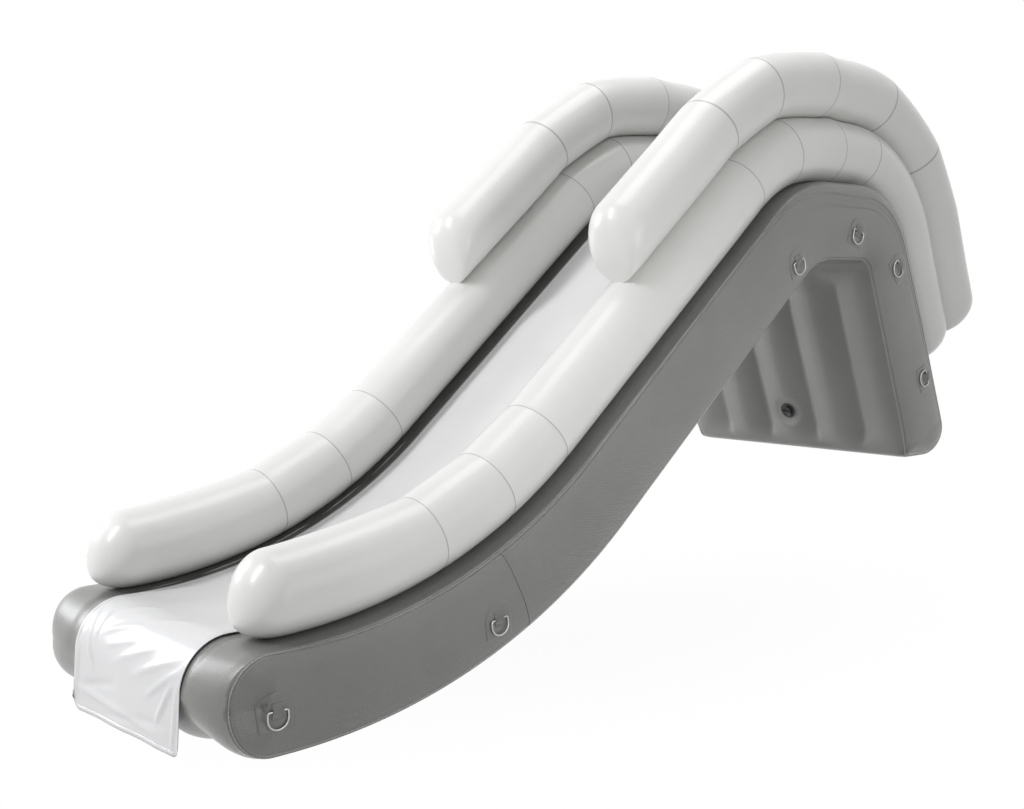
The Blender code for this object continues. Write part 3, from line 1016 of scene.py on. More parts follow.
    def put(self, row: RimRow, point: Vector, x: float) -> Vector:
        """Puts a point at x, narrowed at the nose and the foot, and drawn back at the nose's corners.

        Args:
            row: The crosswise row.
            point: The point, whose x is set.
            x: How far to the right it is where the base has its whole width.

        Returns:
            The point.
        """
        narrow = row.along > self.line.last_square + self.NARROW_FROM
        pull = self.foot_pull(point.z) if narrow else row.nose
        point.x = x * (1 - self.end_inset * pull / self.half_width)
        outer = max(0.0, abs(point.x) - self.sweep_from) / (self.half_width - self.sweep_from)
        return point + Vector((0, self.nose_sweep * row.nose * outer ** 2, 0))

    def panel_point(self, row: RimRow, x: float, under: bool) -> Vector:
        """A point of the deck or the underside.

        Args:
            row: The crosswise row.
            x: How far to the right.
            under: Whether it is on the underside.

        Returns:
            The point.
        """
        if under:
            share = self.rib_share(x, self.half_width)
            crown = self.rib_crown * (1 - share ** 1.5)
            crown *= 1 - smooth_step(self.crown_until, self.half_width, abs(x))
            crown *= smooth_step(*self.valve_flat, math.hypot(x, row.along - self.valve_place))
            ribs = (self.rib_channel * share ** 1.8 - crown) * self.rib_left(row, True)
            depth = (ribs + self.edge_depth(x)) * row.ribs
            return self.put(row, row.under + row.under_in * depth, x)
        share = self.rib_share(x, self.rail_seat)
        channel = self.deck_channel * share ** 2 * self.rib_left(row, False)
        depth = (channel + self.edge_depth(x)) * row.ribs
        seat = self.liner_seat * (1 - smooth_step(self.liner_edge, self.rail_seat, abs(x)))
        depth += seat * min(1.0, 4 * row.ribs)
        return self.put(row, row.deck + row.deck_in * depth, x)

    def side_point(self, row: RimRow, side: int, share: float) -> Vector:
        """A point of a side panel.

        Args:
            row: The crosswise row.
            side: -1 or 1.
            share: Below 1, the place in the points under the deck's edge; above 2, in those over the
                underside's edge; between, the way across the middle.

        Returns:
            The point.
        """
        in_foot = row.along > self.line.last_square + self.FOOT_FROM
        within = self.FOOT_REACH if in_foot else self.REACH
        upper, lower = self.side_depths(row.seam), self.side_depths(self.FOOT_SEAM)
        above, below = self.foot_squeeze(row) if in_foot else (1.0, 1.0)
        first, last = row.deck + row.deck_in * within * above, row.under + row.under_in * within * below
        if share <= 1:
            depth = self.pick(upper, share, within) * above
            point, seam = row.deck + row.deck_in * depth, row.seam
        elif share >= 2:
            depth = self.pick(lower, 3 - share, within) * below
            point, seam = row.under + row.under_in * depth, self.FOOT_SEAM
        else:
            point = first.lerp(last, share - 1)
            depth = within + (first - last).length / 2 * (1 - abs(2 * share - 3))
            seam = row.seam if share < 1.5 else self.FOOT_SEAM
        if in_foot:
            depth = self.foot_depth(point)
        return self.put(row, point, side * (self.half_width + self.side_offset(depth, seam)))

    def foot_squeeze(self, row: RimRow) -> tuple[float, float]:
        """How far a foot's row is drawn towards its outline, so that each row passes under the one before.

        Args:
            row: The crosswise row.

        Returns:
            The share of its reach from the back and from the inner face.
        """
        back, front = self.line.foot_flat()
        share = max(0.0, (row.along - self.line.last_square - self.FLAT_START) / ((back - front) / 2))
        return 1 - self.BACK_DRAW * share, self.INNER_REACH - self.INNER_DRAW * share

    def foot_depth(self, point: Vector) -> float:
        """How far a point of the side panel lies inside the foot's outline, where rows from both faces cross.

        Args:
            point: The point.

        Returns:
            The depth.
        """
        line = self.line
        along = line.along(line.last_square)
        back, front = line.foot_flat()
        half = (back - front) / 2
        for y, radius in ((half, line.foot_back_radius), (-half, line.foot_inner_radius)):
            away = Vector((0, point.y - y, point.z - radius))
            if away.y * y > 0 and away.dot(along) > 0:
                return max(0.0, radius - away.length)
        depth = (point - line.point(line.last_square)).dot(line.inward(line.last_square))
        return max(0.0, min(depth, line.thickness - depth, point.z))

    def pick(self, depths: list[float], share: float, within: float) -> float:
        """Reads a list of depths at a share of its length.

        Args:
            depths: The list, to which the edge's depth and those on the way within are added.
            share: The share.
            within: The last depth.

        Returns:
            The depth there.
        """
        whole = [self.edge_drop] + depths + [(depths[-1] + within) / 2, within]
        place = share * (len(whole) - 1)
        index = min(int(place), len(whole) - 2)
        return whole[index] + (whole[index + 1] - whole[index]) * (place - index)

    def ring(self, row: RimRow) -> list[Vector]:
        """One closed row of the shell.

        Args:
            row: The crosswise row.

        Returns:
            Points from the deck's left edge round to it again.
        """
        count = len(self.side_depths(row.seam)) + 2
        xs = [self.half_width * (2 * index / self.across - 1) for index in range(self.across + 1)]
        deck = [self.panel_point(row, x, False) for x in xs]
        under = [self.panel_point(row, x, True) for x in reversed(xs)]
        shares = [index / count for index in range(1, count + 1)]
        shares += [1 + index / self.middle for index in range(1, self.middle)]
        shares += [2 + (index - 1) / count for index in range(1, count + 1)]
        side = [self.side_point(row, 1, share) for share in shares]
        other = [self.side_point(row, -1, share) for share in reversed(shares)]
        return deck + side + under + other

    def shell(self) -> bmesh.types.BMesh:
        """The whole skin.

        Returns:
            The mesh.
        """
        rows = self.rows()
        rings = [self.ring(row) for row in rows]
        sides = len(rings[0])
        middle = rings[len(rings) // 2]
        girth = [0.0]
        for index in range(sides):
            girth.append(girth[-1] + (middle[(index + 1) % sides] - middle[index]).length)
        return laid_grid(sides, len(rows) - 1, lambda column, row: rings[row][column % sides],
                         lambda column, row: (girth[column], rows[row].along))

    def bead_path(self, side: int) -> list[Vector]:
        """The piping's line: along the seam under the deck's edge, and back over the underside's edge.

        Args:
            side: -1 or 1.

        Returns:
            The points.
        """
        rows = self.rows()[1:-1]
        places = [(row, row.deck, row.deck_in, row.seam) for row in rows]
        places += [(row, row.under, row.under_in, self.FOOT_SEAM) for row in reversed(rows)]
        path = []
        for row, edge, inward, seam in places:
            reach = self.half_width + self.side_offset(seam, seam) + self.valley * self.BEAD_PROUD
            path.append(self.put(row, edge + inward * seam, side * reach))
        return path

    def joint_path(self) -> list[Vector]:
        """The lap joint round the base: down the right side panel, under the ribs and up the left one.

        Returns:
            The points of its edge.
        """
        top, steps = 0.12, 40
        spots = [(1, top + (3 - top) * step / steps) for step in range(steps + 1)]
        spots += [(0, self.half_width * (1 - 2 * step / self.across)) for step in range(1, self.across)]
        spots += [(-1, 3 - (3 - top) * step / steps) for step in range(steps + 1)]
        path = []
        for side, value in spots:
            distance = between(self.JOINT, self.line.thickness * value / 3) if side else self.JOINT[-1][1]
            row = self.square_row(distance)
            path.append(self.side_point(row, side, value) if side else self.panel_point(row, value, True))
        return path

    def build(self, palette: Palette) -> bpy.types.Object:
        """Builds the chamber's pieces.

        Args:
            palette: The finishes.

        Returns:
            The shell.
        """
        shell = finished(self.shell(), "base_shell", Slot.GREY_PVC, palette, MAIN_BODY, ["base_chamber"],
                         sharp=SOFT_EDGE)
        for side in Side:
            # the piping bead is drawn in a lighter grey: painted highlight along the seam
            bead = tube(self.bead_path(side.value), self.bead_radius, 8, True)
            finished(bead, f"side_piping_{side.word}", Slot.GREY_PVC, palette, MAIN_BODY, trim=Trim.PIPING)
        # the lap joint is a thin bead in near-black: painted shade of the lap's step
        joint = tube(self.joint_path(), self.joint_radius, 6, False)
        finished(joint, "base_lap_joint", Slot.GREY_PVC, palette, MAIN_BODY, trim=Trim.JOINT)
        log.info("base shell: %d faces", len(shell.data.polygons))
        return shell


# The rails


@dataclass
class Rail:
    """An air tube on the edge of the deck, between two drooping domes."""

    line: DeckLine
    level: str
    side: Side
    start: float
    end: float
    radius: float
    shown_radius: float
    centre_depth: float
    rest_depth: float
    welds: tuple[float, ...]
    tip: float = 0.165
    tip_droop: float = 0.5
    tip_power: float = 1.0
    under: Optional[Rail] = None
    offset: float = 0.579
    dome: float = 0.165
    droop: float = 0.5
    sides: int = 64
    pitch: float = 0.026
    band: float = 0.0032
    valve_back: float = 0.2
    pad: tuple[float, float] = (0.052, 0.085)
    deepest_bend: float = 0.015
    settled: float = 0.336
    fade: float = 0.3

    TIP_STEPS = 20
    TIP_EASE = 1.4
    DOME_STEPS = 12
    TAPE = 0.0004
    WELD_ROWS = (-0.012, -0.006, 0.0, 0.006, 0.012)
    # how a weld draws the skin in: depth and reach
    DRAWN = ((0.0014, 0.007), (0.0012, 0.03))
    # the turns of a bend that is mitred
    LEAST_TURN, MOST_TURN = 0.03, 0.6

    def __post_init__(self) -> None:
        """Notes where the tube may bend, and how much it turns between one such place and the next."""
        self.ends = sorted({self.start, self.end, self.line.leg_start, *self.welds})
        self.turns = [self.line.heading(high - 1e-6) - self.line.heading(low + 1e-6)
                      for low, high in zip(self.ends, self.ends[1:])]

    def rows(self) -> list[tuple[float, float, float, float]]:
        """The rows round the tube, from its front tip to its rear dome.

        Returns:
            Each row as (distance, shift along, radius share, weld mark).
        """
        steps = self.TIP_STEPS
        found = []
        for step in range(steps, 0, -1):
            turn = math.pi / 2 * (1 - (1 - step / steps) ** self.TIP_EASE)
            share = math.cos(turn) if step < steps else 0.0
            found.append((self.start, -self.tip * math.sin(turn), share, 0.0))
        extra = [self.line.leg_start]
        for weld in self.welds:
            extra += [weld + way * self.band + shift for way in (-1, 1) for shift in (-self.TAPE, self.TAPE)]
            extra += [weld + shift for shift in self.WELD_ROWS]
        valve = self.end - self.valve_back
        extra += [valve + VALVE_PITCH * step for step in range(-6, 7)]
        for distance in steps_between(self.start, self.end, self.pitch, extra):
            on_weld = any(abs(distance - weld) < self.band for weld in self.welds)
            found.append((distance, 0.0, 1.0, 1.0 if on_weld else 0.0))
        for step in range(1, self.DOME_STEPS + 1):
            turn = math.pi / 2 * step / self.DOME_STEPS
            found.append((self.end, self.dome * math.sin(turn), math.cos(turn), 0.0))
        return found

    def relief(self, distance: float, mark: float) -> float:
        """How far the skin stands out of the plain tube, below 0 where a weld draws it in."""
        drawn = sum(depth * hump(distance, weld, reach) for weld in self.welds for depth, reach in self.DRAWN)
        return self.TAPE * mark - drawn

    def sagitta(self, index: int, height: float) -> float:
        """How far a straight length of tube between two welds lies inside the curve that it stands for.

        Args:
            index: Which length.
            height: Height above the deck line.

        Returns:
            The distance, above 0 on the crest and below 0 on the run-out.
        """
        if not 0 <= index < len(self.turns):
            return 0.0
        turn = self.turns[index]
        if not self.LEAST_TURN < abs(turn) < self.MOST_TURN:
            return 0.0
        radius = (self.ends[index + 1] - self.ends[index]) / abs(turn) - math.copysign(height, turn)
        bend = min(self.deepest_bend, radius * turn * turn / 8)
        return -math.copysign(bend, turn) * min(1.0, max(0.0, height / self.settled))

    def mitre(self, distance: float, height: float) -> float:
        """How far the skin moves off the smooth curve, since the tube is straight from weld to weld.

        Args:
            distance: How far along the deck line.
            height: Height above it.

        Returns:
            The move away from the deck.
        """
        own = self.own_mitre(distance, height)
        if self.under is None:
            return own
        free = smooth_step(self.settled, self.settled + self.radius, height)
        return self.under.mitre(distance, self.settled) * (1 - free) + own * free

    def own_mitre(self, distance: float, height: float) -> float:
        """The move that comes from the tube's own welds.

        Args:
            distance: How far along the deck line.
            height: Height above it.

        Returns:
            The move away from the deck.
        """
        index = min(len(self.turns) - 1, max(0, bisect.bisect_right(self.ends, distance) - 1))
        low, high = self.ends[index], self.ends[index + 1]
        bend = self.sagitta(index, height)
        first = (bend + self.sagitta(index - 1, height)) / 3
        last = (bend + self.sagitta(index + 1, height)) / 3
        if bend == 0.0:
            return (first * max(0.0, 1 - (distance - low) / self.fade)
                    + last * max(0.0, 1 - (high - distance) / self.fade))
        share = (distance - low) / (high - low)
        return first + (last - first) * share - bend * 4 * share * (1 - share)

    def point(self, row: tuple[float, float, float, float], turn: float) -> Vector:
        """A point of the tube.

        Args:
            row: The row.
            turn: The angle round the tube, from +X towards the sky.

        Returns:
            The point.
        """
        distance, shift, share, mark = row
        radius = self.shown_radius * share
        if not shift:
            radius += self.relief(distance, mark)
        droop = self.tip_droop if shift < 0 else self.droop
        depth = self.centre_depth + droop * self.shown_radius * (1 - share) - radius * math.sin(turn)
        depth = min(depth, self.rest_depth)
        depth -= self.mitre(distance, -depth)
        if shift < 0:
            radius = self.shown_radius * share ** self.tip_power
        x = self.side.value * self.offset + radius * math.cos(turn)
        x = self.flattened(distance, shift, depth, x)
        return self.line.point(distance, depth, x) + self.line.along(distance) * shift

    def flattened(self, distance: float, shift: float, depth: float, x: float) -> float:
        """Flattens the skin under the valve's flange, on the side of the lane.

        Args:
            distance: How far along the deck line.
            shift: How far past that, in a tip.
            depth: How far below the line.
            x: The tube's own x there.

        Returns:
            The x of the flattened skin.
        """
        away = math.hypot(distance + shift - (self.end - self.valve_back), depth - self.centre_depth)
        if abs(x) > self.offset:
            return x
        inner = self.side.value * (self.offset - self.radius)
        return x + (inner - x) * (1 - smooth_step(*self.pad, away))

    def build(self, palette: Palette) -> bpy.types.Object:
        """Builds the rail.

        Args:
            palette: The finishes.

        Returns:
            The piece.
        """
        rows = self.rows()
        turns = [2 * math.pi * index / self.sides for index in range(self.sides)]
        points = [[self.point(row, turn) for turn in turns] for row in rows]
        # the weld mark raises the weld tape and also lays the painted shade line along each weld
        bm = laid_grid(self.sides, len(rows) - 1, lambda column, row: points[row][column % self.sides],
                       lambda column, row: (2 * math.pi * self.radius * column / self.sides,
                                            rows[row][0] + rows[row][1]),
                       {"weld": lambda column, row: rows[row][3]})
        node = f"{self.level}_rail_{self.side.word}"
        rail = finished(bm, node + "_skin", Slot.WHITE_PVC, palette, MAIN_BODY, [node], sharp=SOFT_EDGE)
        log.info("%s: %d faces", rail.name, len(rail.data.polygons))
        return rail


# The liner


@dataclass(frozen=True)
class Fold:
    """A soft ridge in the liner between two places: how far across from its left edge, and along."""

    start: tuple[float, float]
    end: tuple[float, float]
    width: float
    height: float

    # the shares of its length in which it rises and falls
    RISE = (-0.25, 0.3)
    FALL = (0.7, 1.25)

    def lift(self, across: float, along: float) -> float:
        """How far the fold lifts the cloth.

        Args:
            across: The place's distance from the left edge.
            along: Its distance from the nose.

        Returns:
            The lift.
        """
        ax, ay = self.start
        bx, by = self.end
        length = math.hypot(bx - ax, by - ay)
        share = ((across - ax) * (bx - ax) + (along - ay) * (by - ay)) / length ** 2
        if not self.RISE[0] < share < self.FALL[1]:
            return 0.0
        away = ((across - ax) * (by - ay) - (along - ay) * (bx - ax)) / length
        taper = smooth_step(*self.RISE, share) * (1 - smooth_step(*self.FALL, share))
        return self.height * taper * hump(away, 0.0, self.width)


@dataclass
class SlideLiner:
    """The white liner on the lane, whose front end hangs over the nose as a loose flap."""

    line: DeckLine
    half_width: float = 0.432
    shift: float = 0.012
    thickness: float = 0.0012
    flap_drop: float = 0.225
    fold: float = 0.011
    folds: float = 2.5
    hem: float = 0.02
    hem_pitch: float = 0.012
    hem_thickness: float = 0.0009
    columns: int = 80
    corner: float = 0.03
    left_corner: float = 0.07
    nose_lift: float = 0.0015
    lift_run: float = 0.2
    pitch: float = 0.02
    push: float = 1.2
    wave: float = 0.22
    wave_start: float = 0.8
    fold_share: float = 1.7
    ripple: float = 0.0011
    ripple_level: float = 0.25
    ripple_loss: float = 0.6
    ripple_range: tuple[float, float] = (0.3, 0.9)
    corner_power: int = 6

    FLAP_STEPS = 24
    NOSE_STEPS = 28
    # noise that ripples the cloth: its places a metre across and along, where it is cut, and its share
    RIPPLES = ((9, 5, 3.1, 1.0), (23, 14, 8.4, 0.5))
    # along from the nose's front: below 0 is the flap, and 0.32 is the deck's start
    FOLDS = (
        Fold((0.05, 0.19), (0.16, -0.02), 0.011, 0.0045),
        Fold((0.13, 0.23), (0.15, 0.08), 0.009, 0.0035),
        Fold((0.20, 0.13), (0.40, 0.20), 0.012, 0.0040),
        Fold((0.26, 0.08), (0.46, 0.14), 0.010, 0.0035),
        Fold((0.36, 0.04), (0.60, 0.13), 0.012, 0.0042),
        Fold((0.52, 0.02), (0.78, 0.12), 0.013, 0.0045),
        Fold((0.62, -0.04), (0.82, 0.08), 0.011, 0.0040),
        Fold((0.70, -0.12), (0.80, 0.03), 0.012, 0.0045),
        Fold((0.06, -0.13), (0.62, -0.17), 0.013, 0.0055),
        Fold((0.10, -0.11), (0.34, -0.06), 0.016, -0.0035),
        Fold((0.30, -0.19), (0.74, -0.13), 0.015, -0.0030),
        Fold((0.82, -0.20), (0.84, 0.02), 0.010, 0.0040),
        Fold((0.02, -0.18), (0.03, 0.05), 0.012, 0.0040),
        Fold((0.45, 0.24), (0.62, 0.30), 0.014, 0.0022),
        Fold((0.20, 0.26), (0.34, 0.33), 0.014, 0.0022),
    )

    @property
    def width(self) -> float:
        """The cloth's width."""
        return 2 * self.half_width

    def stations(self) -> list[tuple[Vector, Vector, float, float]]:
        """The liner's side view, from the flap's end to the leg.

        Returns:
            Each place as (point, way out, share of the flap, distance along).
        """
        radius = self.line.thickness / 2
        centre = self.line.point(0, radius)
        reach = radius + AIR_GAP + self.nose_lift
        front = Vector((0, -1, 0))
        found = []
        for step in range(self.FLAP_STEPS, 0, -1):
            hang = step / self.FLAP_STEPS
            found.append((centre + front * reach - Vector((0, 0, self.flap_drop * hang)), front, hang,
                          -self.flap_drop * hang))
        for step in range(self.NOSE_STEPS, 0, -1):
            turn = math.pi / 2 * step / self.NOSE_STEPS
            out = Vector((0, -math.sin(turn), math.cos(turn)))
            found.append((centre + out * reach, out, 0.0, (math.pi / 2 - turn) * reach))
        start = math.pi / 2 * reach
        for distance in steps_between(0.0, self.line.leg_start, self.pitch):
            lift = AIR_GAP + self.nose_lift * (1 - smooth_step(0.0, self.lift_run, distance))
            out = -self.line.inward(distance)
            found.append((self.line.point(distance) + out * lift, out, 0.0, start + distance))
        return found

    def point(self, station: tuple[Vector, Vector, float, float], across: float,
              proud: float = 0.0) -> Vector:
        """A point of the liner's underside.

        Args:
            station: The place along the liner.
            across: Metres from its left edge.
            proud: How far it stands off it.

        Returns:
            The point.
        """
        spot, out, hang, along = station
        wave = math.sin(2 * math.pi * self.folds * across / self.width + self.wave_start)
        push = self.fold * hang * (self.push + self.wave * wave)
        lift = self.fold_share * sum(fold.lift(across, along) for fold in self.FOLDS)
        ripple = sum(share * noise.noise(Vector((across * wide, along * long, cut)))
                     for wide, long, cut, share in self.RIPPLES)
        calm = self.ripple_loss * smooth_step(*self.ripple_range, along)
        lift += self.ripple * max(0.0, ripple + self.ripple_level) * (1 - calm)
        if hang == 0.0:
            lift = max(0.0, lift)
        point = spot + Vector((0, -push, 0)) + out * (lift + proud)
        point.x = self.shift - self.half_width + across
        return self.rounded(point, across, hang)

    def rounded(self, point: Vector, across: float, hang: float) -> Vector:
        """Rounds the flap's two lower corners.

        Args:
            point: A point of the liner.
            across: Metres from its left edge.
            hang: The share of the flap.

        Returns:
            The point, raised at a corner.
        """
        if hang == 0.0:
            return point
        from_edge = min(across, self.width - across)
        reach = self.left_corner if across < self.width / 2 else self.corner
        if from_edge < reach:
            rise = reach - math.sqrt(max(0.0, reach ** 2 - (reach - from_edge) ** 2))
            point.z += rise * hang ** self.corner_power
        return point

    def cloth(self, stations: Sequence[tuple[Vector, Vector, float, float]], low: float, high: float,
              columns: int, proud: float = 0.0) -> bmesh.types.BMesh:
        """A strip of cloth along some stations.

        Args:
            stations: The stations.
            low: Where it starts across the liner.
            high: Where it ends.
            columns: Faces across.
            proud: How far it stands off the liner's underside.

        Returns:
            The mesh.
        """
        across = [low + (high - low) * column / columns for column in range(columns + 1)]
        return laid_grid(columns, len(stations) - 1,
                         lambda column, row: self.point(stations[row], across[column], proud),
                         lambda column, row: (across[column], stations[row][3]))

    def strip(self, edge: str, palette: Palette, low: float, high: float,
              stations: Sequence[tuple[Vector, Vector, float, float]]) -> bpy.types.Object:
        """A folded and welded hem on the liner's outer face.

        Args:
            edge: The edge that it is on.
            palette: The finishes.
            low: Where it starts across the liner.
            high: Where it ends.
            stations: The stations that it runs along.

        Returns:
            The piece.
        """
        columns = max(4, round((high - low) / self.hem_pitch))
        bm = self.cloth(stations, low, high, columns, self.thickness)
        hem = finished(bm, f"liner_hem_{edge}", Slot.WHITE_LINER, palette, MAIN_BODY)
        thicken(hem, self.hem_thickness, 1.0)
        return hem

    def build(self, palette: Palette) -> bpy.types.Object:
        """Builds the liner and its hems.

        Args:
            palette: The finishes.

        Returns:
            The liner.
        """
        stations = self.stations()
        bm = self.cloth(stations, 0.0, self.width, self.columns)
        liner = finished(bm, "liner_cloth", Slot.WHITE_LINER, palette, MAIN_BODY, ["slide_liner"])
        thicken(liner, self.thickness, 1.0)
        hems = [
            self.strip("left", palette, 0.0, self.hem, stations),
            self.strip("right", palette, self.width - self.hem, self.width, stations),
            self.strip("front", palette, self.hem, self.width - self.hem, stations[:3]),
        ]
        length = stations[-1][3] - stations[0][3]
        log.info("liner: %.3f m wide and %.3f m long", self.width, length)
        return liner


# The D-rings


@dataclass
class TieRing:
    """A D-ring in the webbing loop of a welded patch."""

    base: BaseChamber
    skin: BVHTree
    side: Side
    number: int
    distance: float
    depth: float
    slope: float
    wire: float = 0.004
    width: float = 0.088
    straight: float = 0.028
    bow: float = 0.04
    patch_width: float = 0.145
    patch_above: float = 0.068
    patch_below: float = 0.08
    patch_thickness: float = 0.002
    patch_sunk: float = 0.001
    loop_width: float = 0.046
    webbing: float = 0.0016
    clearance: float = 0.0005
    patch_corner: float = 0.012
    patch_rim: float = 0.006
    ring_corner: float = 0.008
    rim_share: float = 0.35
    loop_slack: float = 0.0001
    loop_stretch: float = 1.15
    loop_turn: int = 60
    ray: float = 0.5

    # the webbing's tail above the bar: how far off the pad, and how high
    TAIL = ((0.0002, 0.030), (0.0002, 0.022), (0.0006, 0.014), (0.0022, 0.0085))

    @property
    def panel(self) -> float:
        """How far the side panel's middle is from the slide's middle."""
        return self.base.half_width + self.base.bulge

    def frame(self) -> Matrix:
        """The ring's own frame: X along its bar, Y out of the side panel, Z up along the panel.

        Returns:
            The frame.
        """
        tilt = math.radians(self.slope)
        sign = self.side.value
        bar = Vector((0, math.cos(tilt), math.sin(tilt)))
        up = Vector((0, -math.sin(tilt), math.cos(tilt)))
        out = Vector((sign, 0, 0))
        spot = self.base.line.point(self.distance, self.depth, sign * self.panel)
        spot += out * (AIR_GAP + self.patch_thickness + self.clearance + self.wire)
        frame = Matrix((bar * -sign, out, up)).transposed().to_4x4()
        frame.translation = spot
        return frame

    def on_panel(self, x: float, z: float, proud: float) -> Vector:
        """A point on the side panel's skin.

        Args:
            x: Along the bar, in the ring's frame.
            z: Up the panel, in the ring's frame.
            proud: How far out of the skin.

        Returns:
            The point in the row frame.
        """
        spot = self.frame() @ Vector((x, 0, z))
        sign = self.side.value
        hit = self.skin.ray_cast(Vector((sign, spot.y, spot.z)), Vector((-sign, 0, 0)), self.ray)[0]
        spot.x = (hit.x if hit is not None else sign * self.panel) + sign * proud
        return spot

    def outline(self, z: float) -> float:
        """Half the pad's width.

        Args:
            z: The height, up the panel.

        Returns:
            The half width there.
        """
        half, corner = self.patch_width / 2, self.patch_corner
        rise, drop = z - self.patch_above + half, -self.patch_below + corner - z
        if z > self.patch_above - half:
            return math.sqrt(max(0.0, half ** 2 - rise ** 2))
        if drop > 0:
            return half - corner + math.sqrt(max(0.0, corner ** 2 - drop ** 2))
        return half

    def pad_point(self, x: float, z: float) -> Vector:
        """A point of the pad on the side panel: the pad is thinner at its edge.

        Args:
            x: Along the bar.
            z: Up the panel.

        Returns:
            The point.
        """
        half, top = self.patch_width / 2, self.patch_above
        from_arch = half - math.hypot(x, z - top + half) if z > top - half else 1
        edge = min(self.outline(z) - abs(x), z + self.patch_below, from_arch)
        share = self.rim_share + (1 - self.rim_share) * smooth_step(0.0, self.patch_rim, edge)
        return self.on_panel(x, z, AIR_GAP + self.patch_thickness * share)

    def patch(self) -> bmesh.types.BMesh:
        """The pad: square below with rounded corners, and arched above.

        Returns:
            The mesh.
        """
        low, columns, rows = -self.patch_below, 20, 26
        shares = [(1 - math.cos(math.pi * row / rows)) / 2 for row in range(rows + 1)]
        zs = [low + (self.patch_above - low) * share for share in shares]

        def flat(column: int, row: int) -> tuple[float, float]:
            """A point of the pad laid flat."""
            return self.outline(zs[row]) * (2 * column / columns - 1), zs[row]

        return laid_grid(columns, rows, lambda column, row: self.pad_point(*flat(column, row)), flat)

    def loop(self) -> bmesh.types.BMesh:
        """The webbing over the bar, with a tail welded to the pad on each side of it.

        Returns:
            The mesh.
        """
        pad = self.wire + self.clearance
        reach = pad + self.webbing / 2
        tail = [(off - pad, z) for off, z in self.TAIL]
        turns = [math.radians(self.loop_turn * (1 - step / 4)) for step in range(9)]
        bend = [(reach * math.cos(turn) + self.loop_slack, reach * math.sin(turn) * self.loop_stretch)
                for turn in turns]
        line = tail + bend + [(y, -z) for y, z in reversed(tail)]
        columns = 10
        frame = self.frame()
        xs = [self.loop_width / 2 * (2 * column / columns - 1) for column in range(columns + 1)]
        return laid_grid(columns, len(line) - 1, lambda column, row: frame @ Vector((xs[column], *line[row])),
                         lambda column, row: (self.loop_width * column / columns, row * 0.004))

    def ring_path(self) -> list[Vector]:
        """The D's centre line, with rounded corners at the bar's ends.

        Returns:
            Its points.
        """
        half = self.width / 2
        corner = self.ring_corner
        bar = [(half * share * 0.8, 0) for share in (-1, -0.5, 0, 0.5, 1)]
        turns = [math.pi / 2 * step / 5 for step in range(6)]
        end = [(half - corner + corner * math.sin(turn), -corner + corner * math.cos(turn)) for turn in turns]
        end.append((half, -self.straight * 0.7))
        turns = [math.pi * step / 24 for step in range(25)]
        bow = [(half * math.cos(turn), -self.straight - self.bow * math.sin(turn)) for turn in turns]
        other = [(-x, z) for x, z in reversed(end)]
        return [Vector((x, 0, z)) for x, z in bar + end + bow + other]

    def build(self, palette: Palette) -> None:
        """Builds the patch, the loop and the ring.

        Args:
            palette: The finishes.
        """
        label = f"{self.side.word}_{self.number}"
        pad = finished(self.patch(), f"patch_pad_{label}", Slot.GREY_PVC, palette, MAIN_BODY,
                       [f"ring_patch_{label}"], trim=Trim.PAD)
        thicken(pad, self.patch_thickness + self.patch_sunk, -1.0)
        loop = finished(self.loop(), f"patch_loop_{label}", Slot.GREY_PVC, palette, MAIN_BODY,
                        trim=Trim.WEBBING)
        thicken(loop, self.webbing, 0.0)
        frame = self.frame()
        path = [frame @ point for point in self.ring_path()]
        ring = tube(path, self.wire, 14, True)
        finished(ring, f"steel_ring_{label}", Slot.STAINLESS, palette, f"ring_{label}", [f"d_ring_{label}"])


# The valves


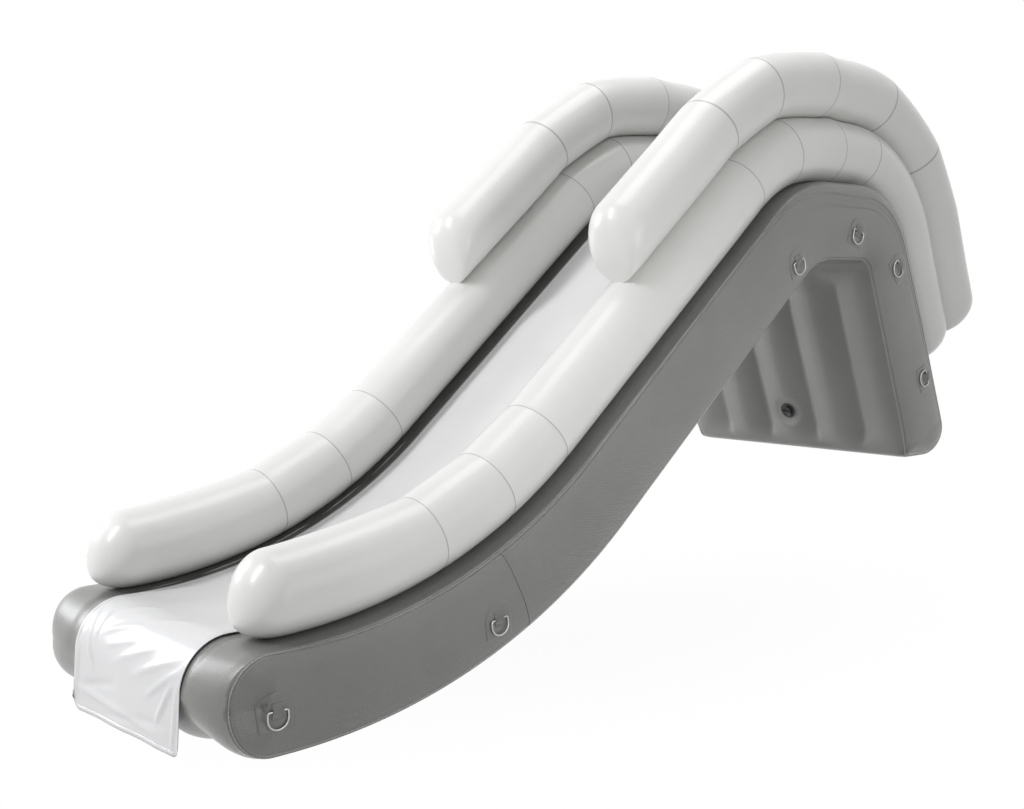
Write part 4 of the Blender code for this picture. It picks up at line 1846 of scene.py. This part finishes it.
@dataclass
class Valve:
    """A bayonet valve: welded flange, neck with its barrel, and a cap with a grip."""

    name: str
    frame: Matrix
    flange_radius: float = 0.0475
    flange: float = 0.003
    barrel_radius: float = 0.025
    bore: float = 0.02
    neck_radius: float = 0.027
    neck: float = 0.012
    barrel: float = 0.028
    shelf: float = 0.005
    shelf_radius: float = 0.011
    wall: float = 0.0035
    skirt: float = 0.006
    grip_width: float = 0.007
    grip_height: float = 0.008
    groove: float = 0.0007
    dish: float = 0.0009
    knurl: float = 0.0006
    knurls: int = 24
    turns: int = 72
    crease: float = 0.7
    easing: float = 0.0005
    grip_side: float = 0.0028
    grip_crown: float = 0.0014

    # the weld groove's points as shares of the flange's radius, and whether they lie in its floor
    GROOVE = ((0.72, False), (0.74, True), (0.79, True), (0.81, False))

    def spun(self, profile: Sequence[tuple[float, float]], closed: bool) -> bmesh.types.BMesh:
        """Turns an outline about Z.

        Args:
            profile: Points as (radius, height).
            closed: Whether the outline's end joins its start.

        Returns:
            The mesh, with its edges eased.
        """
        bm = bmesh.new()
        verts = [bm.verts.new((radius, 0, height)) for radius, height in profile]
        edges = [bm.edges.new(pair) for pair in zip(verts, verts[1:])]
        if closed:
            edges.append(bm.edges.new((verts[-1], verts[0])))
        bmesh.ops.spin(bm, geom=verts + edges, axis=(0, 0, 1), cent=(0, 0, 0), steps=self.turns,
                       angle=2 * math.pi, use_merge=True)
        bmesh.ops.remove_doubles(bm, verts=bm.verts, dist=DOUBLES)
        bmesh.ops.recalc_face_normals(bm, faces=bm.faces)
        creases = [edge for edge in bm.edges
                   if len(edge.link_faces) == 2 and edge.calc_face_angle() > self.crease]
        bmesh.ops.bevel(bm, geom=creases, affect="EDGES", offset=self.easing, segments=2, profile=0.5,
                        material=-1)
        return bm

    def seat(self) -> bmesh.types.BMesh:
        """The flange with its weld groove, the neck, the barrel and the spring's shelf.

        Returns:
            The mesh.
        """
        low = -self.barrel + self.shelf
        rim = self.flange_radius
        deep = self.flange - self.groove
        groove = [(rim * share, deep if inside else self.flange) for share, inside in self.GROOVE]
        profile = [
            (self.bore, self.neck), (self.neck_radius, self.neck), (self.neck_radius, self.flange), *groove,
            (rim - 0.002, self.flange), (rim, self.flange - 0.0015), (rim, AIR_GAP),
            (self.barrel_radius, AIR_GAP), (self.barrel_radius, -self.barrel),
            (self.shelf_radius, -self.barrel), (self.shelf_radius, low), (self.bore, low),
        ]
        return self.spun(profile, True)

    def cap(self) -> bmesh.types.BMesh:
        """The cap, knurled round its edge, with a grip bar across it.

        Returns:
            The mesh.
        """
        inner = self.neck_radius / math.cos(math.pi / 12) + AIR_GAP
        outer = inner + self.wall
        ceiling = self.neck + AIR_GAP
        top = ceiling + self.wall
        dish = top - self.dish
        profile = [(0.0, ceiling), (inner, ceiling), (inner, self.skirt), (outer, self.skirt),
                   (outer, top - 0.0012), (outer - 0.0016, top), (outer - 0.006, top), (outer - 0.0075, dish),
                   (0.0, dish)]
        bm = self.spun(profile, False)
        for vert in bm.verts:
            away = math.hypot(vert.co.x, vert.co.y)
            if away > outer - 0.0008:
                turn = math.atan2(vert.co.y, vert.co.x)
                vert.co.xy *= 1 - self.knurl * (0.5 + 0.5 * math.cos(self.knurls * turn)) / away
        return join_meshes(bm, self.grip(outer - self.wall / 2, top))

    def grip(self, reach: float, top: float) -> bmesh.types.BMesh:
        """The grip bar.

        Args:
            reach: How far it goes to each side.
            top: The cap's top.

        Returns:
            The mesh.
        """
        bm = bmesh.new()
        low = top - self.wall / 2
        high = top + self.grip_height
        size = Matrix.Diagonal((2 * reach, self.grip_width, high - low, 1.0))
        bmesh.ops.create_cube(bm, size=1.0, matrix=Matrix.Translation((0, 0, (low + high) / 2)) @ size)
        upright = [edge for edge in bm.edges if abs(edge.verts[0].co.z - edge.verts[1].co.z) > 0.001]
        bmesh.ops.bevel(bm, geom=upright, affect="EDGES", offset=self.grip_side, segments=5, profile=0.5,
                        material=-1)
        crown = [edge for edge in bm.edges if min(vert.co.z for vert in edge.verts) > high - 1e-5]
        bmesh.ops.bevel(bm, geom=crown, affect="EDGES", offset=self.grip_crown, segments=4, profile=0.5,
                        material=-1)
        return bm

    def build(self, palette: Palette) -> None:
        """Builds the seat and the cap.

        Args:
            palette: The finishes.
        """
        finished(self.seat(), f"{self.name}_flange", Slot.BLACK_PLASTIC, palette, MAIN_BODY,
                 [f"{self.name}_seat"], sharp=MOULDED_EDGE, move=self.frame)
        finished(self.cap(), f"{self.name}_lid", Slot.BLACK_PLASTIC, palette, f"{self.name}_cap_body",
                 [f"{self.name}_cap"], sharp=MOULDED_EDGE, move=self.frame)


def frame_looking(spot: Vector, out: Vector, along: Vector) -> Matrix:
    """A frame with Z out of the skin.

    Args:
        spot: Its origin.
        out: The way out of the skin.
        along: The way that X is near to.

    Returns:
        The frame.
    """
    z = out.normalized()
    x = (along - z * along.dot(z)).normalized()
    frame = Matrix((x, z.cross(x), z)).transposed().to_4x4()
    frame.translation = spot
    return frame


# The whole slide


@dataclass
class Slide:
    """The whole slide, dressed piece by piece."""

    line: DeckLine
    palette: Palette
    lower_radius: float = 0.168
    upper_radius: float = 0.163
    lower_shown: float = 0.1705
    upper_shown: float = 0.1655
    lower_start: float = 0.065
    upper_start: float = 0.955
    lower_end: float = 0.575
    upper_end: float = 0.535
    upper_rest: float = -0.338

    # each ring's distance along the line, depth below it and slope in degrees
    RINGS = ((0.0, 0.217, 0), (0.99, 0.255, 9), (3.404, 0.275, 22), (4.149, 0.25, -17), (4.866, 0.165, -50),
             (5.545, 0.118, -67))
    LOWER_WELDS = (0.885, 1.30, 1.681, 3.434, 3.748, 4.079, 4.35)
    UPPER_WELDS = (3.449, 3.705, 4.014, 4.381, 4.62)
    # words in the names of the nodes whose own shapes stay
    KEPT = {"web": Slot.WEB_FABRIC, "spring": Slot.STAINLESS, "poppet": Slot.RED_PLASTIC}

    def rails(self) -> list[Rail]:
        """The rails, which swell a little more than the solids' plain tubes.

        Returns:
            The lower and the upper one of each side.
        """
        line = self.line
        depth = -(2 * self.lower_radius + self.upper_radius + 2 * AIR_GAP)
        found = []
        for side in Side:
            lower = Rail(line, "lower", side, start=line.toe + self.lower_start,
                         end=line.leg_start + self.lower_end, radius=self.lower_radius,
                         shown_radius=self.lower_shown, centre_depth=-(self.lower_radius + AIR_GAP),
                         rest_depth=-AIR_GAP / 2, welds=self.LOWER_WELDS)
            upper = Rail(line, "upper", side, start=line.ramp_start + self.upper_start,
                         end=line.leg_start + self.upper_end, radius=self.upper_radius,
                         shown_radius=self.upper_shown, centre_depth=depth, rest_depth=self.upper_rest,
                         welds=self.UPPER_WELDS, tip=0.185, tip_droop=1.0, tip_power=0.5, under=lower)
            found += [lower, upper]
        return found

    def valve_frames(self, base: BaseChamber, rails: Sequence[Rail]) -> dict[str, Matrix]:
        """Where each valve sits.

        Args:
            base: The base chamber.
            rails: The rails.

        Returns:
            Frames by the valves' names.
        """
        line = self.line
        distance = base.valve_place
        spot = line.point(distance, line.thickness)
        frames = {"base_valve": frame_looking(spot, line.inward(distance), Vector((1, 0, 0)))}
        for rail in rails:
            distance = rail.end - rail.valve_back
            sign = rail.side.value
            spot = line.point(distance, rail.centre_depth, sign * (rail.offset - rail.radius))
            name = f"{rail.level}_valve_{rail.side.word}"
            frames[name] = frame_looking(spot, Vector((-sign, 0, 0)), line.along(distance))
        return frames

    def keep_inside_parts(self, nodes: dict[str, bpy.types.Object]) -> None:
        """Dresses the webs, springs and poppets, whose own shapes stay.

        Args:
            nodes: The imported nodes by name.
        """
        for name, node in nodes.items():
            for word, slot in self.KEPT.items():
                if word in name.split("_"):
                    node.data.materials.clear()
                    node.data.materials.append(self.palette.of(slot))
                    log.info("kept %s", name)

    def build(self, nodes: dict[str, bpy.types.Object]) -> None:
        """Builds every piece in order.

        Args:
            nodes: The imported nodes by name.
        """
        base = BaseChamber(self.line)
        shell = base.build(self.palette)
        skin = BVHTree.FromPolygons([vert.co for vert in shell.data.vertices],
                                    [tuple(face.vertices) for face in shell.data.polygons])
        rails = self.rails()
        for rail in rails:
            rail.build(self.palette)
        SlideLiner(self.line).build(self.palette)
        for side in Side:
            for number, (distance, depth, slope) in enumerate(self.RINGS, start=1):
                TieRing(base, skin, side, number, distance, depth, slope).build(self.palette)
        for name, frame in self.valve_frames(base, rails).items():
            Valve(name, frame).build(self.palette)
        self.keep_inside_parts(nodes)


# The studio


def white_for_camera(tree: bpy.types.NodeTree) -> Socket:
    """A share that is 1 for rays that show the background: camera, glossy and transmission rays.

    Args:
        tree: The node tree to add it to.

    Returns:
        The share.
    """
    rays = tree.nodes.new("ShaderNodeLightPath")
    total = rays.outputs["Is Camera Ray"]
    for name in ("Is Glossy Ray", "Is Transmission Ray"):
        joined = tree.nodes.new("ShaderNodeMath")
        joined.operation = "ADD"
        joined.use_clamp = True
        tree.links.new(total, joined.inputs[0])
        tree.links.new(rays.outputs[name], joined.inputs[1])
        total = joined.outputs[0]
    return total


@dataclass(frozen=True)
class Lamp:
    """A soft oblong lamp: where it hangs, what it looks at, its size, its watts and its beam in degrees."""

    name: str
    spot: tuple[float, float, float]
    size: tuple[float, float]
    power: float
    target: tuple[float, float, float] = (0, -1.8, 0.4)
    beam: float = 180.0
    colour: Colour = WHITE

    def hang(self) -> None:
        """Adds the lamp to the scene."""
        light = bpy.data.lights.new(self.name, "AREA")
        light.spread = math.radians(self.beam)
        light.color = self.colour
        light.shape = "RECTANGLE"
        light.size, light.size_y = self.size
        light.energy = self.power
        lamp = bpy.data.objects.new(self.name, light)
        lamp.rotation_mode = "QUATERNION"
        lamp.location = self.spot
        lamp.rotation_quaternion = (Vector(self.target) - Vector(self.spot)).to_track_quat("-Z", "Y")
        bpy.context.scene.collection.objects.link(lamp)


@dataclass
class Studio:
    """Plain floor, white surroundings, soft lamps and the camera."""

    LAMPS = (
        Lamp("key", (-3.0, -11.0, 7.0), (1.2, 5.5), 660),
        Lamp("left", (-8.0, -7.0, 3.2), (2.4, 3.5), 230, (0, -1.2, 0.5), colour=(0.96, 0.97, 1.0)),
        Lamp("under", (-5.0, -2.5, 0.2), (1.5, 1.5), 11, (0, -0.3, 0.2), 46.0),
        Lamp("side", (6.5, -3.2, 0.0), (2.6, 2.6), 8, (0.75, -2.5, 0.3), 36.0),
        Lamp("fill", (8.0, -1.0, 2.5), (4.0, 4.0), 76),
        Lamp("top", (0.0, -1.5, 7.0), (3.0, 6.0), 160),
    )

    floor_height: float = -0.788
    floor_size: float = 240.0
    shadow_reach: tuple[float, float] = (3.4, 6.0)
    lens: float = 48.54
    sensor: float = 36.0
    clip_end: float = 200.0
    eye: tuple[float, float, float] = (4.9149, -6.9101, 0.9534)
    right: tuple[float, float, float] = (0.67365, 0.73905, 0.0)
    up: tuple[float, float, float] = (-0.06282, 0.05726, 0.99638)
    ahead: tuple[float, float, float] = (-0.73638, 0.67121, -0.08500)
    surround: float = 0.34
    floor_glow: float = 0.86
    floor_colour: Colour = (0.72, 0.72, 0.72)
    floor_shade: Colour = (0.68, 0.68, 0.68)
    shadow_shift: float = 2.0
    shadow_core: float = 0.45

    def world(self) -> None:
        """White to the eye, and a plain soft light on the slide."""
        world = bpy.data.worlds.new("surround")
        world.use_nodes = True
        bpy.context.scene.world = world
        tree = world.node_tree
        lit = tree.nodes["Background"]
        seen = tree.nodes.new("ShaderNodeBackground")
        for background, strength in ((lit, self.surround), (seen, 1.0)):
            background.inputs["Color"].default_value = (*WHITE, 1.0)
            background.inputs["Strength"].default_value = strength
        mix = tree.nodes.new("ShaderNodeMixShader")
        for slot, output in zip(mix.inputs, (white_for_camera(tree), lit.outputs[0], seen.outputs[0])):
            tree.links.new(output, slot)
        tree.links.new(mix.outputs[0], tree.nodes["World Output"].inputs["Surface"])

    def floor(self) -> None:
        """A near-white floor that keeps the slide's shadow."""
        bm = bmesh.new()
        bmesh.ops.create_grid(bm, x_segments=1, y_segments=1, size=self.floor_size / 2,
                              matrix=Matrix.Translation((0, 0, self.floor_height)))
        mesh = bpy.data.meshes.new("floor")
        bm.to_mesh(mesh)
        bm.free()
        floor = bpy.data.objects.new("floor", mesh)
        bpy.context.scene.collection.objects.link(floor)
        mesh.materials.append(self.floor_finish())

    def floor_finish(self) -> bpy.types.Material:
        """Pale grey in the slide's shadow, which turns to a plain white glow further out.

        Returns:
            The material.
        """
        sheet = NodeSheet("pale_floor")
        tint = sheet.drift(0.8, 0.0, 1.0)
        sheet.look(base_color=sheet.blend(tint, self.floor_shade, self.floor_colour), roughness=0.9,
                   specular_ior_level=0.1)
        glow = sheet.node("Emission")
        glow.inputs["Strength"].default_value = 1.0
        shrunk = sheet.node("Mapping")
        wide, long = self.shadow_reach
        shrunk.inputs["Location"].default_value = (0.0, self.shadow_shift / long, 0.0)
        shrunk.inputs["Scale"].default_value = (1 / wide, 1 / long, 1.0)
        sheet.feed(shrunk.inputs["Vector"], sheet.node("TexCoord").outputs["Object"])
        away = sheet.node("VectorMath", operation="LENGTH")
        sheet.feed(away.inputs[0], shrunk.outputs["Vector"])
        reach = sheet.spread(away.outputs["Value"], self.shadow_core, 1.0, self.floor_glow, 1.0,
                             "SMOOTHERSTEP")
        mix = sheet.node("MixShader")
        share = sheet.sum_up("MULTIPLY", white_for_camera(sheet.tree), reach)
        for slot, value in zip(mix.inputs, (share, sheet.shader.outputs[0], glow.outputs[0])):
            sheet.feed(slot, value)
        sheet.feed(sheet.tree.nodes["Material Output"].inputs["Surface"], mix.outputs[0])
        return sheet.material

    def camera(self) -> None:
        """The camera at the photograph's viewing angle."""
        data = bpy.data.cameras.new("camera")
        data.sensor_width = self.sensor
        data.lens = self.lens
        data.clip_end = self.clip_end
        camera = bpy.data.objects.new("camera", data)
        bpy.context.scene.collection.objects.link(camera)
        turned = Matrix((self.right, self.up, [-part for part in self.ahead])).transposed()
        camera.matrix_world = Matrix.Translation(self.eye) @ turned.to_4x4()
        bpy.context.scene.camera = camera

    def build(self) -> None:
        """Sets the whole studio."""
        self.world()
        self.floor()
        for lamp in self.LAMPS:
            lamp.hang()
        self.camera()
        bpy.context.scene.view_settings.view_transform = "Standard"


def main() -> None:
    """Dresses the slide, sets the studio and notes the sizes."""
    logging.basicConfig(level=logging.INFO, format="%(message)s")
    for thing in list(bpy.data.objects):
        bpy.data.objects.remove(thing, do_unlink=True)
    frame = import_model()
    palette = Palette()
    palette.build()
    Slide(DeckLine(), palette).build(frame["nodes"])
    Studio().build()


if __name__ == "__main__":
    main()
